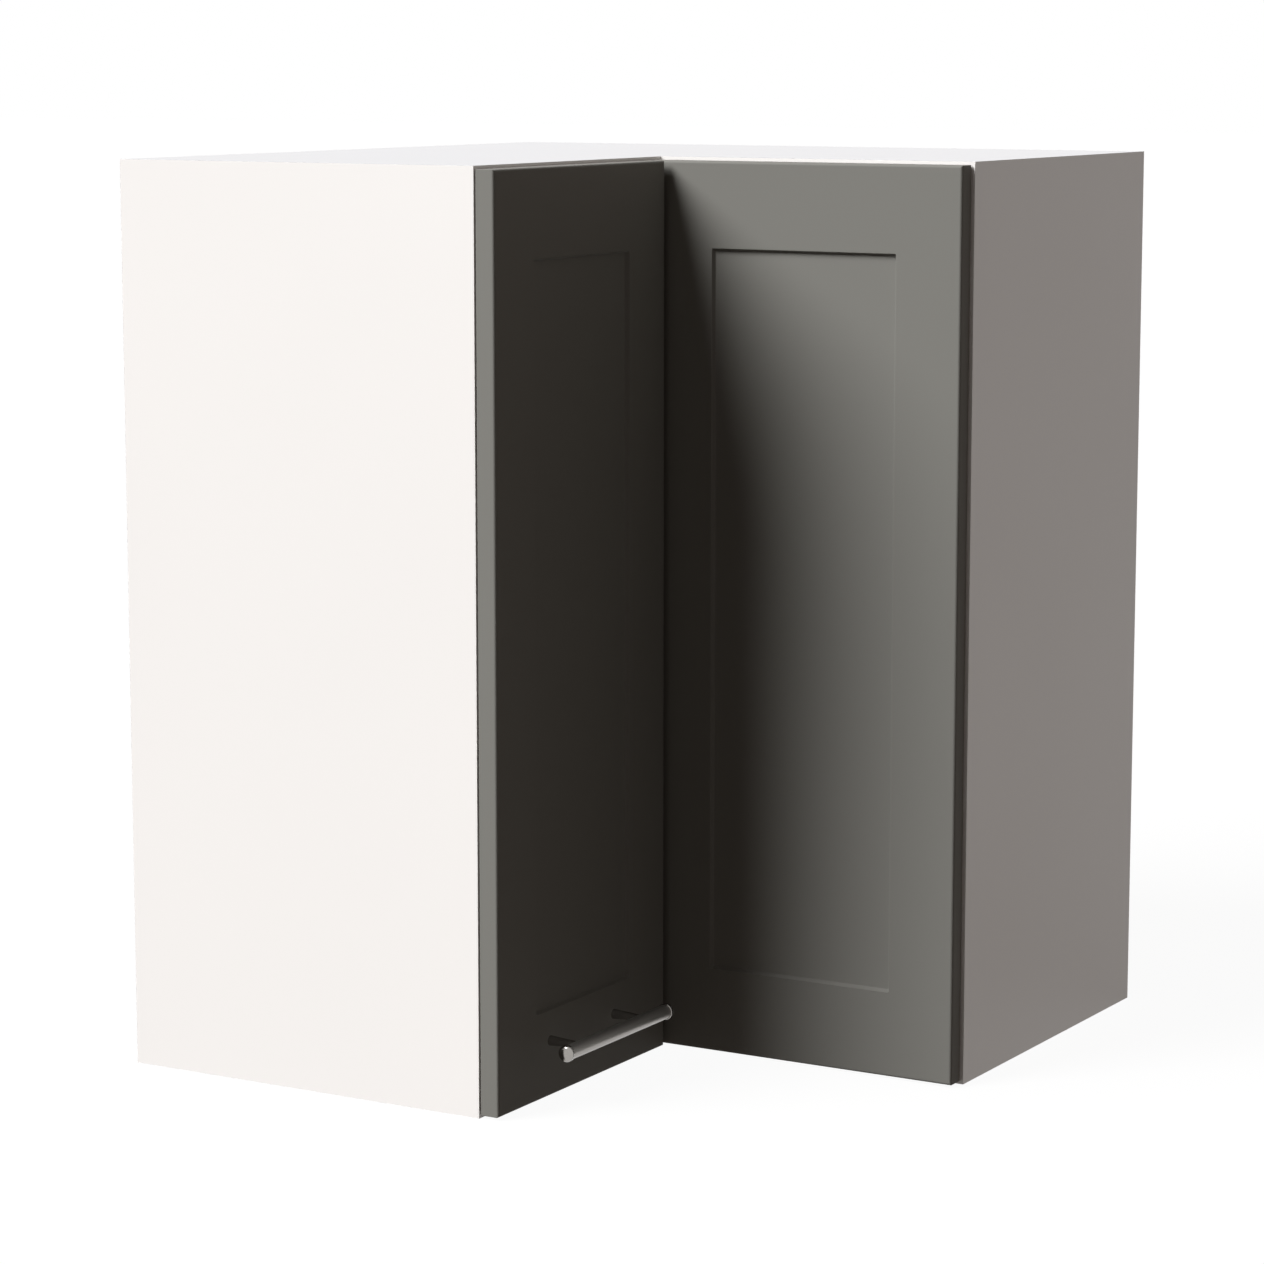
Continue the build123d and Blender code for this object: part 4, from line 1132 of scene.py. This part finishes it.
def make_floor(studio):
    """A pale floor. Seen directly, most of it is plain white and the rest takes the shadow. To the
    rays that light things it gives the same even light as the surroundings."""
    half = studio.floor_size / 2
    low = cad_box[0][2]
    corners = [(-half, -half, low), (half, -half, low), (half, half, low), (-half, half, low)]
    mesh = bpy.data.meshes.new("floor")
    mesh.from_pydata(corners, [], [(0, 1, 2, 3)])
    floor = bpy.data.objects.new("floor", mesh)
    bpy.context.scene.collection.objects.link(floor)
    made = bpy.data.materials.new("floor_white")
    made.use_nodes = True
    graph = Graph(made.node_tree)
    matt = graph.add("ShaderNodeBsdfDiffuse", inputs={"Color": opaque([studio.floor_seen] * 3)})
    white = {"Color": (1.0, 1.0, 1.0, 1.0), "Strength": studio.floor_glow}
    glow = graph.add("ShaderNodeEmission", inputs=white)
    shown = graph.add("ShaderNodeMixShader", inputs={0: studio.floor_share, 1: matt, 2: glow})
    dim = graph.add("ShaderNodeEmission", inputs={"Color": opaque(studio.ambient)})
    mixed = graph.add("ShaderNodeMixShader", inputs={0: seen_directly(graph), 1: dim, 2: shown})
    graph.add("ShaderNodeOutputMaterial", inputs={"Surface": mixed})
    mesh.materials.append(made)


def make_surroundings(scene, studio):
    """White where it is seen directly. Elsewhere an even dim light, and a broad fill. The fill's
    strength is the cosine between the ray and the fill's middle, raised to a power."""
    world = bpy.data.worlds.new("studio_world")
    world.use_nodes = True
    scene.world = world
    graph = Graph(world.node_tree)
    ray = graph.add("ShaderNodeTexCoord", output="Generated")
    middle = {0: ray, 1: Vector(studio.fill_from).normalized()}
    cosine = graph.add("ShaderNodeVectorMath", {"operation": "DOT_PRODUCT"}, middle, "Value")
    facing = cosine.larger(0.0)
    share = facing.maths("POWER", facing, studio.fill_focus)
    lit = [even + broad for even, broad in zip(studio.ambient, studio.fill)]
    dim = graph.blend(share, opaque(studio.ambient), opaque(lit))
    light = graph.blend(seen_directly(graph), dim, (1.0, 1.0, 1.0, 1.0))
    background = graph.add("ShaderNodeBackground", inputs={"Color": light, "Strength": 1.0})
    graph.add("ShaderNodeOutputWorld", inputs={"Surface": background})


def make_lamp(name, towards, spread, strength):
    """A distant lamp that fills an angle, shining from the given direction."""
    data = bpy.data.lights.new(name, "SUN")
    data.energy = strength
    data.angle = spread
    lamp = bpy.data.objects.new(name, data)
    lamp.rotation_euler = Vector(towards).to_track_quat("Z", "Y").to_euler()
    lamp.location = Vector(towards) * LAMP_DISTANCE
    bpy.context.scene.collection.objects.link(lamp)


def make_camera(scene, studio):
    """The camera at the photograph's place and angle."""
    data = bpy.data.cameras.new("camera")
    data.lens = studio.lens
    data.sensor_width = studio.sensor
    camera = bpy.data.objects.new("camera", data)
    camera.location = studio.camera_place
    camera.rotation_euler = Vector(studio.camera_aim).to_track_quat("-Z", "Y").to_euler()
    scene.collection.objects.link(camera)
    scene.camera = camera


# -------------------------------- panel and registration
class CABINET_PT_panel(bpy.types.Panel):
    """Sizes, colours and steps of the cabinet"""

    bl_idname = "CABINET_PT_panel"
    bl_label = "Corner wall cabinet"
    bl_space_type = "VIEW_3D"
    bl_region_type = "UI"
    bl_category = "Cabinet"

    def draw(self, context):
        for operator in OPERATORS:
            self.layout.operator(operator.bl_idname)
        for name, group in GROUPS.items():
            column = self.layout.column()
            column.label(text=group.__doc__)
            for field in group.__annotations__:
                column.prop(getattr(context.scene, name), field)


GROUPS = {
    "cabinet_doors": DoorSizes,
    "cabinet_handle": HandleSizes,
    "cabinet_screws": ScrewSizes,
    "cabinet_finishes": Finishes,
    "cabinet_studio": StudioSettings,
}
OPERATORS = (
    CABINET_OT_stage,
    CABINET_OT_boards,
    CABINET_OT_fittings,
    CABINET_OT_doors,
    CABINET_OT_handle,
    CABINET_OT_screws,
    CABINET_OT_bumpers,
)


def register():
    for name, group in GROUPS.items():
        bpy.utils.register_class(group)
        setattr(bpy.types.Scene, name, PointerProperty(type=group))
    for kind in (*OPERATORS, CABINET_PT_panel):
        bpy.utils.register_class(kind)


def unregister():
    for kind in (CABINET_PT_panel, *reversed(OPERATORS)):
        bpy.utils.unregister_class(kind)
    for name, group in reversed(GROUPS.items()):
        delattr(bpy.types.Scene, name)
        bpy.utils.unregister_class(group)


def main():
    register()
    for operator in OPERATORS:
        name = operator.bl_idname.split(".")[1]
        getattr(bpy.ops.cabinet, name)()


if __name__ == "__main__":
    main()
